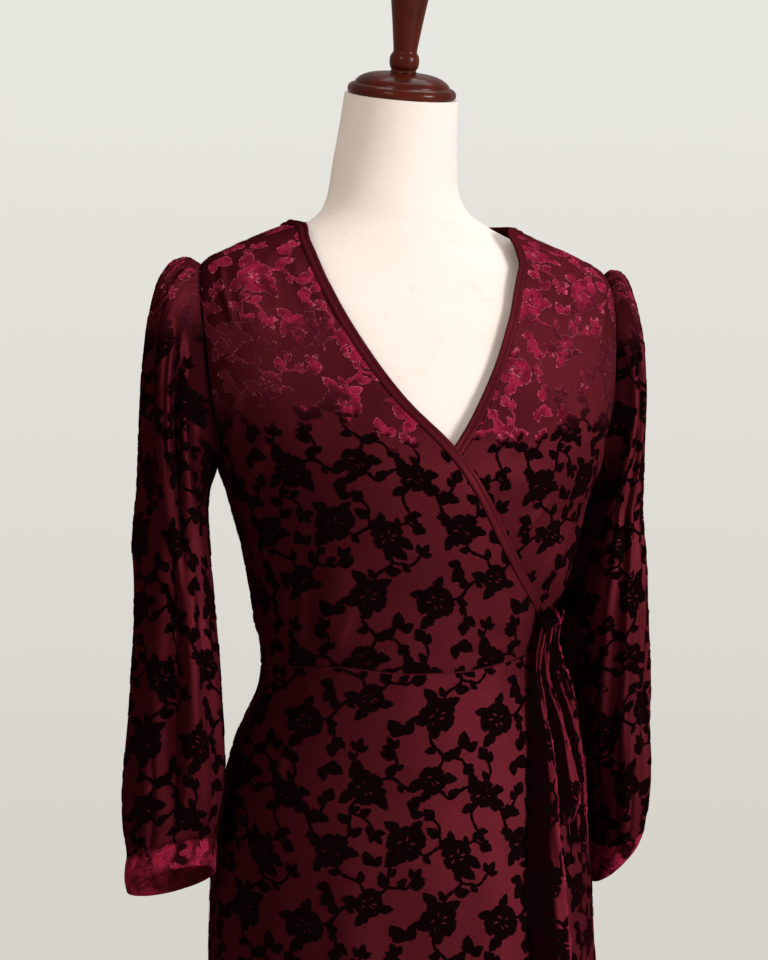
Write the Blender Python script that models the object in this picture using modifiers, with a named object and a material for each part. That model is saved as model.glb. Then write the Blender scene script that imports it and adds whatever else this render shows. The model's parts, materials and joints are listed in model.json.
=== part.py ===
"""Wrap dress on a limbless dress form, built piece by piece at real size.

Frame: metres, +Z up, origin on the floor under the middle of the stand. The front faces -Y, so the
wearer's right side is -X and the wearer's left side is +X.

Every panel of the dress lies on one smooth cloth surface, which is described by an angle around
the body (0 at the centre front, 90 at the wearer's left side, 180 at the centre back, -90 at the
wearer's right side) and by a height. Panels, bindings and ties are stretches of that surface,
moved in or out by their layer and given a wall.
"""
import math
from collections import namedtuple

import bmesh
import bpy
import numpy as np

# ---------------------------------------------------------------- driving dimensions (metres)
WALL = 0.0014                   # thickness of one layer of cloth
SEAM_GAP = 0.0004               # clear gap between two pieces that are sewn together
LAYER_STEP = 0.0048             # how far the lower layer of the wrap lies under the upper one

BINDING = 0.009                 # width of the neck binding
BINDING_WALL = 0.0022
WAIST_GAP = 0.0005              # half the gap at the waist seam
SEAM_DEGREES = 0.09             # half the gap at the side and shoulder seams
HEM = 0.270                     # height of the skirt's hem
SHOULDER_TIP = 1.3655           # top of the armhole
UNDERARM = 1.188                # foot of the armhole
ARMHOLE_HALF_ANGLE = 12.0       # the empty armhole hangs as a narrow upright loop
ARMHOLE_RADIUS = 0.080          # depth of the body there, for turning widths into degrees
CREASE_RADIUS = 0.15            # of the cloth surface at the bodice, likewise
DROP_START = 0.040              # the lower layer starts to sink this far outside the upper edge
DROP_RUN = 0.055                # and has sunk fully over this run

ARMHOLE_ROWS = 10
SIDE_ROWS = 5
EDGE_POINTS = ARMHOLE_ROWS + SIDE_ROWS + 1      # points down each edge of a front
SKIRT_STATIONS = (0.0, 0.05, 0.11, 0.18, 0.27, 0.38, 0.52, 0.68, 0.84, 1.0)
UPPER_COLUMNS = 24
LOWER_COLUMNS = 21
BACK_SHOULDER_COLUMNS = 6
BACK_NECK_COLUMNS = 10
EDGE_SAMPLES = 400
PROBE = 0.0005                  # step for measuring the surface's slope
PROBE_DEGREES = 0.1

Section = namedtuple("Section", "height half_width front back centre_y")

# The middle of the cloth wall, around the body, from the hem to the neck.
CLOTH = (
    Section(0.270, 0.217, 0.190, 0.196, 0.002),
    Section(0.450, 0.203, 0.172, 0.178, 0.002),
    Section(0.600, 0.190, 0.156, 0.162, 0.002),
    Section(0.740, 0.178, 0.142, 0.148, 0.002),
    Section(0.810, 0.177, 0.135, 0.140, 0.002),
    Section(0.880, 0.172, 0.124, 0.124, 0.000),
    Section(0.940, 0.158, 0.113, 0.108, -0.003),
    Section(1.004, 0.134, 0.101, 0.097, -0.006),
    Section(1.060, 0.138, 0.104, 0.099, -0.010),
    Section(1.120, 0.156, 0.115, 0.103, -0.014),
    Section(1.175, 0.174, 0.123, 0.106, -0.018),
    Section(1.205, 0.184, 0.114, 0.107, -0.019),
    Section(1.240, 0.195, 0.094, 0.107, -0.020),
    Section(1.280, 0.201, 0.075, 0.104, -0.020),
    Section(1.320, 0.202, 0.061, 0.099, -0.019),
    Section(1.350, 0.200, 0.052, 0.092, -0.016),
    Section(1.366, 0.193, 0.050, 0.086, -0.013),
    Section(1.382, 0.164, 0.051, 0.079, -0.007),
    Section(1.396, 0.131, 0.053, 0.071, 0.000),
    Section(1.408, 0.104, 0.055, 0.064, 0.006),
    Section(1.422, 0.082, 0.054, 0.056, 0.012),
)

Edge = namedtuple("Edge", "height angle")

# Free edge of the upper front, from the wearer's right neck point to the knot at the left waist.
UPPER_EDGE = (
    Edge(1.4074, -89.7),
    Edge(1.402, -61.0),
    Edge(1.390, -46.0),
    Edge(1.368, -32.0),
    Edge(1.347, -28.0),
    Edge(1.325, -25.0),
    Edge(1.283, -18.5),
    Edge(1.241, -11.0),
    Edge(1.203, -1.5),
    Edge(1.171, 6.0),
    Edge(1.118, 20.5),
    Edge(1.087, 33.0),
    Edge(1.063, 46.0),
    Edge(1.033, 60.0),
)

# Free edge of the lower front, from the wearer's left neck point down under the upper front.
LOWER_EDGE = (
    Edge(1.4074, 89.7),
    Edge(1.401, 48.0),
    Edge(1.386, 35.0),
    Edge(1.362, 26.5),
    Edge(1.318, 20.5),
    Edge(1.274, 14.0),
    Edge(1.231, 5.5),
    Edge(1.203, -1.5),
    Edge(1.171, -9.0),
    Edge(1.118, -24.0),
    Edge(1.063, -43.0),
    Edge(1.011, -60.0),
)

# Free edge of the upper skirt, from the knot to the hem.
SKIRT_EDGE = (
    Edge(1.034, 60.0),
    Edge(0.990, 44.0),
    Edge(0.950, 33.0),
    Edge(0.910, 28.5),
    Edge(0.841, 24.5),
    Edge(0.760, 22.5),
    Edge(0.270, 20.0),
)
LOWER_SKIRT_END = -58.0         # angle where the lower skirt ends, under the upper one

Waist = namedtuple("Waist", "angle height")

# Height of the waist seam around the body: the tie draws it up at the wearer's left side.
WAIST = (
    Waist(-180, 1.006),
    Waist(-90, 1.010),
    Waist(-45, 1.012),
    Waist(-14, 1.006),
    Waist(5, 1.007),
    Waist(28, 1.015),
    Waist(48, 1.027),
    Waist(62, 1.034),
    Waist(80, 1.033),
    Waist(105, 1.022),
    Waist(135, 1.011),
    Waist(180, 1.006),
)

Flute = namedtuple("Flute", "angle width rise start")

# Soft flutes of the skirt: where each is, how wide (degrees), its rise at the hem, where it starts.
FLUTES = (
    Flute(-85, 8, 0.012, 0.90),
    Flute(-58, 7, 0.015, 0.92),
    Flute(-31, 7, 0.017, 0.97),
    Flute(-8, 6, 0.012, 0.88),
    Flute(12, 6, 0.015, 0.98),
    Flute(44, 7, 0.016, 0.95),
    Flute(73, 8, 0.014, 0.93),
    Flute(102, 8, 0.016, 0.90),
    Flute(128, 7, 0.013, 0.88),
    Flute(156, 8, 0.017, 0.94),
    Flute(184, 7, 0.012, 0.86),
    Flute(211, 8, 0.016, 0.92),
    Flute(243, 8, 0.014, 0.88),
)

Crease = namedtuple("Crease", "angle height end_angle end_height width rise")
CREASE_IN = 0.3                 # share of its length over which a crease rises
CREASE_END = 1.1                # it is gone here
CREASE_FULL = 0.7               # and still full here

# Largest creases of the bodice: most run out from the knot at the wearer's left waist.
CREASES = (
    Crease(56, 1.062, 74, 1.130, 0.017, 0.0042),
    Crease(47, 1.075, 52, 1.150, 0.015, 0.0032),
    Crease(44, 1.046, 8, 1.075, 0.018, 0.0028),
    Crease(-52, 1.030, -38, 1.110, 0.018, 0.0030),
    Crease(-62, 1.385, -50, 1.290, 0.018, 0.0030),
    Crease(115, 1.035, 100, 1.120, 0.018, 0.0032),
    Crease(-110, 1.030, -98, 1.110, 0.018, 0.0030),
)

Hang = namedtuple("Hang", "height centre_out centre_y half_wide half_deep twist slope_out slope_front")

# Rings of the hanging sleeves, from just below the underarm to the cuff. centre_out is measured
# from the middle of the body, twist turns the ring's front outwards, and the two slopes tilt it.
SLEEVE_RIGHT = (
    Hang(1.146, 0.2180, -0.005, 0.0275, 0.052, 15, 0.0, 0.0),
    Hang(1.090, 0.2154, -0.010, 0.0276, 0.053, 15, 0.0, 0.0),
    Hang(1.048, 0.2165, -0.015, 0.0292, 0.053, 12, 0.0, 0.0),
    Hang(1.004, 0.2190, -0.020, 0.0328, 0.053, 8, 0.0, 0.0),
    Hang(0.960, 0.2202, -0.020, 0.0358, 0.052, 5, -0.03, 0.05),
    Hang(0.917, 0.2216, -0.020, 0.0376, 0.051, 2, -0.08, 0.12),
    Hang(0.880, 0.2237, -0.020, 0.0391, 0.046, 0, -0.12, 0.22),
    Hang(0.8535, 0.2249, -0.020, 0.0385, 0.031, 0, -0.16, 0.30),
)
CUFF_RIGHT = (
    Hang(0.8525, 0.2249, -0.020, 0.0385, 0.031, 0, -0.16, 0.30),
    Hang(0.8380, 0.2249, -0.020, 0.0390, 0.031, 0, -0.18, 0.30),
    Hang(0.8240, 0.2249, -0.020, 0.0385, 0.031, 0, -0.20, 0.30),
)
SLEEVE_LEFT = (
    Hang(1.146, 0.2000, 0.000, 0.022, 0.047, 8, 0.0, 0.0),
    Hang(1.090, 0.1970, 0.000, 0.029, 0.052, 10, 0.0, 0.0),
    Hang(1.060, 0.1950, 0.000, 0.031, 0.054, 10, 0.0, 0.0),
    Hang(1.004, 0.2000, 0.000, 0.030, 0.051, 8, 0.0, 0.0),
    Hang(0.960, 0.2040, 0.000, 0.028, 0.048, 5, 0.05, 0.0),
    Hang(0.917, 0.2085, 0.000, 0.026, 0.047, 3, 0.15, -0.05),
    Hang(0.873, 0.2120, 0.000, 0.0245, 0.045, 0, 0.35, -0.10),
    Hang(0.8485, 0.2135, 0.000, 0.0225, 0.038, 0, 0.50, -0.15),
)
CUFF_LEFT = (
    Hang(0.8475, 0.2135, 0.000, 0.0225, 0.038, 0, 0.50, -0.15),
    Hang(0.8325, 0.2135, 0.000, 0.0230, 0.038, 0, 0.53, -0.15),
    Hang(0.8175, 0.2135, 0.000, 0.0225, 0.038, 0, 0.56, -0.15),
)
HEAD_PLEATS = 9                 # gathers of the sleeve head
PLEAT_COLUMNS = 4               # mesh columns across one gather
SLEEVE_COLUMNS = 52
HEAD_HALF_TURN = 78.0           # the gathers spread this far to each side of the shoulder seam
EVEN_BY_ELBOW = 0.6             # how far the columns have spread out where the sleeve hangs free
HANG_ROWS = 6
CAP_STATIONS = (0.0, 0.10, 0.24, 0.42, 0.68, 1.0)
ARMHOLE_INSET = 0.0028          # the sleeve's seam lies this far inside the armhole's edge
HEAD_PUFF = {"right": 0.17, "left": 0.11}       # how strongly the head springs out from the seam
HEAD_PUFF_UP = 0.100            # and up
LOW_PULL_OUT = 0.050            # and how the cloth leaves the foot of the armhole
LOW_PULL_UP = -0.030
FRONT_PUFF = 0.060
HEAD_PLEAT_RISE = 0.0022
GATHER_RISE = 0.0016
HEAD_FULL = 0.7                 # the gathers are full where the turn's cosine is above this
HEAD_IN = 0.08                  # shares of the sleeve's length: the head's gathers rise up to here
HEAD_OUT = (0.50, 0.05)         # and are gone at the first of these
GATHER_IN = (0.72, 0.92)        # the gathers above the cuff rise between these
GATHER_FLAT = 0.6               # and are pressed flat by this share in the cuff seam
FOLD_IN = 0.25                  # the long folds rise up to here
FOLD_OUT = (1.0, 0.9)           # and fade out between these
CUFF_COLUMNS = 28
CUFF_WALL = 0.0020

SleeveFold = namedtuple("SleeveFold", "turn width rise")

# Long soft folds down each sleeve: where round the sleeve, how wide (degrees) and how high.
SLEEVE_FOLDS = (
    SleeveFold(28, 16, 0.0045),
    SleeveFold(78, 15, 0.0050),
    SleeveFold(128, 16, 0.0040),
    SleeveFold(205, 18, 0.0045),
    SleeveFold(268, 17, 0.0045),
    SleeveFold(322, 16, 0.0040),
)

Strip = namedtuple("Strip", "angle height out half curl")

# Stretches of the tie: path over the skirt, distance off the cloth, half width, curl of its edges.
TIES = {
    "tie_tail_long": (
        Strip(50, 1.032, 0.0060, 0.007, 0.004),
        Strip(46, 0.990, 0.0065, 0.008, 0.005),
        Strip(38, 0.940, 0.0065, 0.011, 0.004),
        Strip(32, 0.890, 0.0060, 0.017, 0.003),
        Strip(30, 0.830, 0.0060, 0.020, 0.003),
        Strip(30, 0.770, 0.0060, 0.021, 0.003),
        Strip(29, 0.700, 0.0060, 0.021, 0.003),
        Strip(28, 0.620, 0.0060, 0.021, 0.002),
    ),
    "tie_loop": (
        Strip(54, 1.030, 0.0140, 0.007, 0.004),
        Strip(54, 0.985, 0.0150, 0.008, 0.004),
        Strip(51, 0.935, 0.0135, 0.012, 0.003),
        Strip(48, 0.895, 0.0130, 0.015, 0.002),
        Strip(46, 0.868, 0.0120, 0.012, 0.001),
    ),
    "tie_tail_short": (
        Strip(66, 1.030, 0.0060, 0.007, 0.003),
        Strip(65, 0.985, 0.0065, 0.009, 0.003),
        Strip(62, 0.930, 0.0060, 0.012, 0.003),
        Strip(60, 0.880, 0.0060, 0.014, 0.002),
        Strip(59, 0.820, 0.0060, 0.016, 0.002),
    ),
    "tie_side": (
        Strip(88, 1.047, 0.0035, 0.014, 0.000),
        Strip(78, 1.048, 0.0040, 0.012, 0.001),
        Strip(66, 1.050, 0.0050, 0.008, 0.002),
    ),
}
TIE_WALL = 0.0018
RIBBON_ROWS = 8
RIBBON_COLUMNS = 4
KNOT_CAGE = (0.034, 0.024, 0.030)
KNOT_ANGLE = 46.0
KNOT_HEIGHT = 1.054
KNOT_OUT = 0.0125
KNOT_LEAN = 25.0
KNOT_ROUNDING = 2

BACK_COLUMNS = 25
BINDING_COLUMNS = 2
BINDING_LIFT = 0.0004           # the binding's middle stands this far out from the cloth's
BACK_NECK_RISE = 0.004

Body = namedtuple("Body", "height half_width front back centre_y lean")

# The dress form's covered torso and neck, inside the lower layer of cloth and clear of it.
FORM = (
    Body(0.700, 0.138, 0.098, 0.106, 0.002, 0),
    Body(0.706, 0.148, 0.108, 0.116, 0.002, 0),
    Body(0.725, 0.157, 0.117, 0.125, 0.002, 0),
    Body(0.770, 0.165, 0.124, 0.131, 0.002, 0),
    Body(0.810, 0.167, 0.125, 0.130, 0.002, 0),
    Body(0.880, 0.161, 0.114, 0.114, 0.000, 0),
    Body(0.940, 0.147, 0.103, 0.098, -0.003, 0),
    Body(1.004, 0.1245, 0.0915, 0.088, -0.006, 0),
    Body(1.060, 0.1285, 0.0945, 0.090, -0.010, 0),
    Body(1.120, 0.146, 0.105, 0.094, -0.014, 0),
    Body(1.175, 0.160, 0.113, 0.097, -0.018, 0),
    Body(1.210, 0.166, 0.101, 0.098, -0.019, 0),
    Body(1.250, 0.171, 0.081, 0.099, -0.020, 0),
    Body(1.290, 0.177, 0.064, 0.096, -0.020, 0),
    Body(1.325, 0.180, 0.052, 0.092, -0.019, 0),
    Body(1.345, 0.176, 0.046, 0.086, -0.016, 0),
    Body(1.360, 0.166, 0.044, 0.080, -0.013, 0),
    Body(1.378, 0.142, 0.044, 0.072, -0.006, 0),
    Body(1.394, 0.112, 0.045, 0.060, 0.004, 0),
    Body(1.408, 0.086, 0.049, 0.049, 0.013, 0),
    Body(1.422, 0.069, 0.050, 0.048, 0.020, 1),
    Body(1.440, 0.061, 0.050, 0.050, 0.0235, 3),
    Body(1.464, 0.058, 0.050, 0.050, 0.0200, 7),
    Body(1.492, 0.0545, 0.050, 0.050, 0.0130, 11),
    Body(1.5245, 0.0520, 0.049, 0.049, 0.0040, 13.5),
)
FORM_COLUMNS = 26
SHARP_ANGLE = 40.0
PART_GAP = 0.0003               # between the parts of the form and its stand
TURNED_SEGMENTS = 20

# Turned profiles: radius and height down the outside of each part, from its own foot.
CAP_PROFILE = (
    (0.0, 0.0212), (0.014, 0.0210), (0.018, 0.0190), (0.024, 0.0184), (0.036, 0.0148),
    (0.045, 0.0104), (0.048, 0.0086), (0.049, 0.0074), (0.049, 0.0010), (0.048, 0.0), (0.0, 0.0),
)
FINIAL_PROFILE = (
    (0.0, 0.132), (0.009, 0.130), (0.016, 0.122), (0.0195, 0.108), (0.0200, 0.096),
    (0.0185, 0.078), (0.0155, 0.056), (0.0125, 0.034), (0.0108, 0.020), (0.0110, 0.0165),
    (0.0130, 0.0140), (0.0136, 0.0090), (0.0130, 0.0040), (0.0115, 0.0020), (0.0120, 0.0),
    (0.0, 0.0),
)
BASE_HEIGHT = 0.034
BASE_PROFILE = (
    (0.0, BASE_HEIGHT), (0.030, BASE_HEIGHT), (0.050, 0.029), (0.150, 0.024), (0.178, 0.021),
    (0.188, 0.014), (0.190, 0.008), (0.188, 0.0), (0.0, 0.0),
)
COLLAR_HEIGHT = 0.040
COLLAR_PROFILE = (
    (0.0, 0.0), (0.052, 0.0), (0.052, -0.008), (0.040, -0.012), (0.026, -0.018),
    (0.022, -0.030), (0.022, -COLLAR_HEIGHT), (0.0, -COLLAR_HEIGHT),
)
POLE_RADIUS = 0.016
POLE_LENGTH = FORM[0].height - COLLAR_HEIGHT - BASE_HEIGHT - 3 * PART_GAP


def smooth(xs, ys, x):
    """Smooth curve through the points (xs, ys) that never swings past a point."""
    xs = np.asarray(xs, float)
    ys = np.asarray(ys, float)
    x = np.clip(np.asarray(x, float), xs[0], xs[-1])
    steps = np.diff(xs)
    slopes = np.diff(ys) / steps
    product = slopes[:-1] * slopes[1:]
    total = slopes[:-1] + slopes[1:]
    inner = np.where(product > 0, 2 * product / np.where(total == 0, 1, total), 0.0)
    tangents = np.concatenate(([slopes[0]], inner, [slopes[-1]]))
    i = np.clip(np.searchsorted(xs, x) - 1, 0, len(steps) - 1)
    t = (x - xs[i]) / steps[i]
    return (ys[i] * (1 + 2 * t) * (1 - t) ** 2 + ys[i + 1] * t * t * (3 - 2 * t)
            + steps[i] * (tangents[i] * t * (1 - t) ** 2 - tangents[i + 1] * t * t * (1 - t)))


def column(table, name, x):
    """Value of one column of a table at x, which runs along the table's first column."""
    rows = sorted(table)
    return smooth([row[0] for row in rows], [getattr(row, name) for row in rows], x)


def ring(table, angle, height):
    """Points at these angles (degrees) and heights on the closed body that the table describes."""
    turn = np.radians(angle)
    ahead = np.cos(turn)
    depth = np.where(ahead > 0, column(table, "front", height), column(table, "back", height))
    x = column(table, "half_width", height) * np.sin(turn)
    y = column(table, "centre_y", height) - depth * ahead
    return np.stack([x, y, np.broadcast_to(height, x.shape)], axis=-1)


def on_cloth(angle, height, out=0.0):
    """Points on the cloth surface at these angles and heights, moved out along its normals."""
    angle, height, out = np.broadcast_arrays(*(np.asarray(v, float) for v in (angle, height, out)))
    point = ring(CLOTH, angle, height)
    around = ring(CLOTH, angle + PROBE_DEGREES, height) - ring(CLOTH, angle - PROBE_DEGREES, height)
    down = ring(CLOTH, angle, height - PROBE) - ring(CLOTH, angle, height + PROBE)
    normal = np.cross(down, around)
    normal /= np.linalg.norm(normal, axis=-1, keepdims=True)
    return point + normal * (out + folds(angle, height))[..., None]


def ease(value, start, end):
    """Smooth rise from 0 at start to 1 at end; end may be the smaller of the two."""
    t = np.clip((np.asarray(value) - start) / (end - start), 0, 1)
    return t * t * (3 - 2 * t)


def turned_by(angle, other):
    """Signed angle from other to angle, between -180 and 180."""
    return (np.asarray(angle) - other + 180) % 360 - 180


def folds(angle, height):
    """How far the largest folds lift the cloth at this angle and height."""
    lift = np.zeros(np.shape(angle))
    for f in FLUTES:
        below = ease(height, f.start, HEM)
        lift = lift + f.rise * below * np.exp(-(turned_by(angle, f.angle) / f.width) ** 2)
    for c in CREASES:
        across = np.radians(turned_by(angle, c.angle)) * CREASE_RADIUS
        along_x = math.radians(c.end_angle - c.angle) * CREASE_RADIUS
        along_z = c.end_height - c.height
        length = math.hypot(along_x, along_z)
        t = (across * along_x + (height - c.height) * along_z) / length ** 2
        off = (across * along_z - (height - c.height) * along_x) / length
        ends = ease(t, 0, CREASE_IN) * ease(t, CREASE_END, CREASE_FULL)
        lift = lift + c.rise * np.exp(-(off / c.width) ** 2) * ends
    return lift


def under_drop(angle, height):
    """How far the lower layer of the wrap lies inside the cloth surface at this angle and height."""
    edge = np.where(height > waist_height(angle),
                    column(UPPER_EDGE, "angle", height), column(SKIRT_EDGE, "angle", height))
    covered = np.radians(edge - angle) * column(CLOTH, "half_width", height)
    return LAYER_STEP * ease(covered, -DROP_START, DROP_RUN - DROP_START)


def waist_height(angle):
    """Height of the waist seam at these angles."""
    return column(WAIST, "height", turned_by(angle, 0))


# ---------------------------------------------------------------- outlines of the panels
def along(rows, count):
    """Angles and heights at equal steps along an edge table, neck end or top first."""
    rows = sorted(rows, reverse=True)
    fine = np.linspace(0, len(rows) - 1, EDGE_SAMPLES)
    index = np.arange(len(rows))
    angle = smooth(index, [row.angle for row in rows], fine)
    height = smooth(index, [row.height for row in rows], fine)
    spacing = np.linalg.norm(np.diff(ring(CLOTH, angle, height), axis=0), axis=1)
    length = np.concatenate(([0], np.cumsum(spacing)))
    stations = np.linspace(0, length[-1], count)
    return np.stack([np.interp(stations, length, angle), np.interp(stations, length, height)], axis=-1)


def armhole(turn, inset=0.0):
    """Angle from the side and height on the armhole loop: turn 0 at the shoulder, 180 underarm."""
    turn = np.radians(turn)
    middle = (SHOULDER_TIP + UNDERARM) / 2
    half_height = (SHOULDER_TIP - UNDERARM) / 2 - inset
    half_angle = ARMHOLE_HALF_ANGLE - math.degrees(inset / ARMHOLE_RADIUS)
    return half_angle * np.sin(turn), middle + half_height * np.cos(turn)


def side_edge(side, toward):
    """Armhole and side seam of one panel: side is 90 or -90, toward +1 or -1 the way to the panel."""
    turn = np.linspace(0, 180, ARMHOLE_ROWS + 1)
    swing, height = armhole(turn)
    swing = np.maximum(swing, SEAM_DEGREES)
    low = waist_height(side) + WAIST_GAP
    seam = np.linspace(height[-1], low, SIDE_ROWS + 1)[1:]
    angle = side + toward * np.concatenate([swing, np.full(SIDE_ROWS, SEAM_DEGREES)])
    return np.stack([angle, np.concatenate([height, seam])], axis=-1)


def patch(top, bottom, left, right, stations=None):
    """Grid of angles and heights between four edges that meet at the corners (a Coons patch)."""
    stations = np.linspace(0, 1, len(left)) if stations is None else np.array(stations)
    t = stations[:, None, None]
    s = np.linspace(0, 1, len(top))[None, :, None]
    straight = ((1 - t) * top[None] + t * bottom[None] + (1 - s) * left[:, None] + s * right[:, None])
    corners = ((1 - t) * ((1 - s) * top[0] + s * top[-1]) + t * ((1 - s) * bottom[0] + s * bottom[-1]))
    return straight - corners


def inset_edge(edge, distance, toward):
    """The edge moved sideways over the cloth by a distance, or by one for each of its points."""
    place = ring(CLOTH, edge[:, 0], edge[:, 1])
    around = ring(CLOTH, edge[:, 0] + PROBE_DEGREES, edge[:, 1]) - place
    up = ring(CLOTH, edge[:, 0], edge[:, 1] + PROBE) - place
    run = np.gradient(place, axis=0)
    normal = np.cross(around, up)
    aside = np.cross(run, normal)
    distance = np.broadcast_to(distance, len(edge))
    aside *= (toward * distance / np.linalg.norm(aside, axis=1))[:, None]
    moved = edge.copy()
    for i in range(len(edge)):
        basis = np.stack([around[i] / PROBE_DEGREES, up[i] / PROBE], axis=1)
        moved[i] += np.linalg.lstsq(basis, aside[i], rcond=None)[0]
    return moved


# ---------------------------------------------------------------- making objects
def material(name, colour, roughness, metallic=0.0):
    made = bpy.data.materials.new(name)
    made.use_nodes = True
    shader = made.node_tree.nodes["Principled BSDF"]
    shader.inputs["Base Color"].default_value = (*colour, 1.0)
    shader.inputs["Roughness"].default_value = roughness
    shader.inputs["Metallic"].default_value = metallic
    return made


def add(name, mesh, finish, collection):
    item = bpy.data.objects.new(name, mesh)
    mesh.materials.append(finish)
    collection.objects.link(item)
    return item


def adopt(name, finish, collection):
    """Name the primitive that was just added, give it its finish and move it to the collection."""
    item = bpy.context.active_object
    item.name = name
    item.data.name = name
    for owner in list(item.users_collection):
        owner.objects.unlink(item)
    collection.objects.link(item)
    item.data.materials.append(finish)
    item.data.shade_smooth()
    return item


def grid_mesh(name, points, closed=False):
    """Mesh of quads through a grid of points; a closed grid joins its last column to its first."""
    rows, columns = points.shape[:2]
    steps = columns if closed else columns - 1
    faces = []
    for r in range(rows - 1):
        for c in range(steps):
            across = (c + 1) % columns
            faces.append((r * columns + c, (r + 1) * columns + c,
                          (r + 1) * columns + across, r * columns + across))
    mesh = bpy.data.meshes.new(name)
    mesh.from_pydata([tuple(p) for p in points.reshape(-1, 3)], [], faces)
    mesh.shade_smooth()
    return mesh


def cloth(name, points, finish, collection, wall=WALL, closed=False):
    """A piece of cloth: the grid of its middle surface, with a wall from Solidify."""
    item = add(name, grid_mesh(name, points, closed), finish, collection)
    shell = item.modifiers.new("wall", "SOLIDIFY")
    shell.thickness = wall
    shell.offset = 0.0
    return item


def turned(name, profile, segments, finish, collection):
    """A turned solid: profile rows are (radius, height) down the outside, from axis to axis."""
    mesh = bpy.data.meshes.new(name)
    mesh.from_pydata([(radius, 0.0, height) for radius, height in profile], [
        (i, i + 1) for i in range(len(profile) - 1)], [])
    item = add(name, mesh, finish, collection)
    screw = item.modifiers.new("turn", "SCREW")
    screw.steps = segments
    screw.render_steps = segments
    screw.use_merge_vertices = True
    screw.merge_threshold = 0.00001
    screw.use_smooth_shade = True
    return item


# ---------------------------------------------------------------- bodice, skirt and bindings
def front_limit(edge):
    """Keep a front piece's angles on its own side of the side and shoulder seams."""
    edge[:, 0] = np.clip(edge[:, 0], SEAM_DEGREES - 90, 90 - SEAM_DEGREES)
    return edge


def front_bodice(name, edge_rows, side, columns, drop, finish, collection):
    """One front of the bodice: side -90 or 90 is the wearer's right or left."""
    toward = -math.copysign(1, side)
    outer = side_edge(side, toward)
    edge = along(edge_rows, EDGE_POINTS)
    inner = front_limit(inset_edge(edge, BINDING + SEAM_GAP, toward))
    seam = side + toward * SEAM_DEGREES
    inner[0, 0] = seam
    bottom_angle = np.linspace(inner[-1, 0], seam, columns + 1)
    bottom = np.stack([bottom_angle, waist_height(bottom_angle) + WAIST_GAP], axis=-1)
    inner[-1] = bottom[0]
    outer[-1] = bottom[-1]
    top = np.linspace(inner[0], outer[0], columns + 1)
    grid = patch(top, bottom, inner, outer)
    angle, height = grid[..., 0], grid[..., 1]
    out = -under_drop(angle, height) if drop else 0.0
    return cloth(name, on_cloth(angle, height, out), finish, collection)


def back_bodice(finish, collection):
    """The back, from the wearer's left side seam (90) round to the right one (270)."""
    left = side_edge(90, 1)
    right = side_edge(-90, -1)
    right[:, 0] += 360
    neck = inset_edge(back_neck_edge(BACK_NECK_COLUMNS + 1), BINDING + SEAM_GAP, 1)
    neck[:, 0] = np.clip(neck[:, 0], left[-1, 0], right[-1, 0])
    shoulder = np.linspace(left[0], neck[0], BACK_SHOULDER_COLUMNS + 1)[:-1]
    other = np.linspace(neck[-1], right[0], BACK_SHOULDER_COLUMNS + 1)[1:]
    top = np.concatenate([shoulder, neck, other])
    bottom_angle = np.linspace(left[-1, 0], right[-1, 0], len(top))
    bottom = np.stack([bottom_angle, waist_height(bottom_angle) + WAIST_GAP], axis=-1)
    grid = patch(top, bottom, left, right)
    return cloth("bodice_back", on_cloth(grid[..., 0], grid[..., 1]), finish, collection)


def back_neck_edge(count):
    """Neckline of the back, from the wearer's left neck point (90) to the right one (270)."""
    angle = np.linspace(90 + SEAM_DEGREES, 270 - SEAM_DEGREES, count)
    rise = BACK_NECK_RISE * np.sin(np.radians(angle - 90))
    return np.stack([angle, UPPER_EDGE[0].height + rise], axis=-1)


def binding(name, edge, toward, limits, drop, finish, collection):
    """A folded band along a neck edge, a little thicker than the cloth that it binds."""
    widths = np.linspace(0, BINDING, BINDING_COLUMNS + 1)
    grid = np.stack([inset_edge(edge, width, toward) for width in widths], axis=1)
    angle = np.clip(grid[..., 0], *limits)
    height = np.maximum(grid[..., 1], waist_height(angle) + WAIST_GAP)
    out = BINDING_LIFT - (under_drop(angle, height) if drop else 0.0)
    return cloth(name, on_cloth(angle, height, out), finish, collection, wall=BINDING_WALL)


def skirt_heights(angle):
    """Heights of a skirt panel's rows at this angle, from the waist seam to the hem."""
    top = waist_height(angle) - WAIST_GAP
    return top + (HEM - top) * np.array(SKIRT_STATIONS)


def skirt_side(angle):
    """A straight side edge of a skirt panel, from the waist seam to the hem."""
    height = skirt_heights(angle)
    return np.stack([np.full(height.shape, float(angle)), height], axis=-1)


def skirt_wrap_edge():
    """The free edge of the upper skirt, from the knot to the hem."""
    height = skirt_heights(SKIRT_EDGE[0].angle)
    return np.stack([column(SKIRT_EDGE, "angle", height), height], axis=-1)


def skirt_panel(name, left, right, columns, drop, finish, collection):
    """A skirt panel between two side edges; left has the larger angle."""
    top_angle = np.linspace(left[0, 0], right[0, 0], columns + 1)
    bottom_angle = np.linspace(left[-1, 0], right[-1, 0], columns + 1)
    top = np.stack([top_angle, waist_height(top_angle) - WAIST_GAP], axis=-1)
    bottom = np.stack([bottom_angle, np.full(columns + 1, HEM)], axis=-1)
    left[0] = top[0]
    right[0] = top[-1]
    grid = patch(top, bottom, left, right, SKIRT_STATIONS)
    angle, height = grid[..., 0], grid[..., 1]
    out = -under_drop(angle, height) if drop else 0.0
    return cloth(name, on_cloth(angle, height, out), finish, collection)


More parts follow.
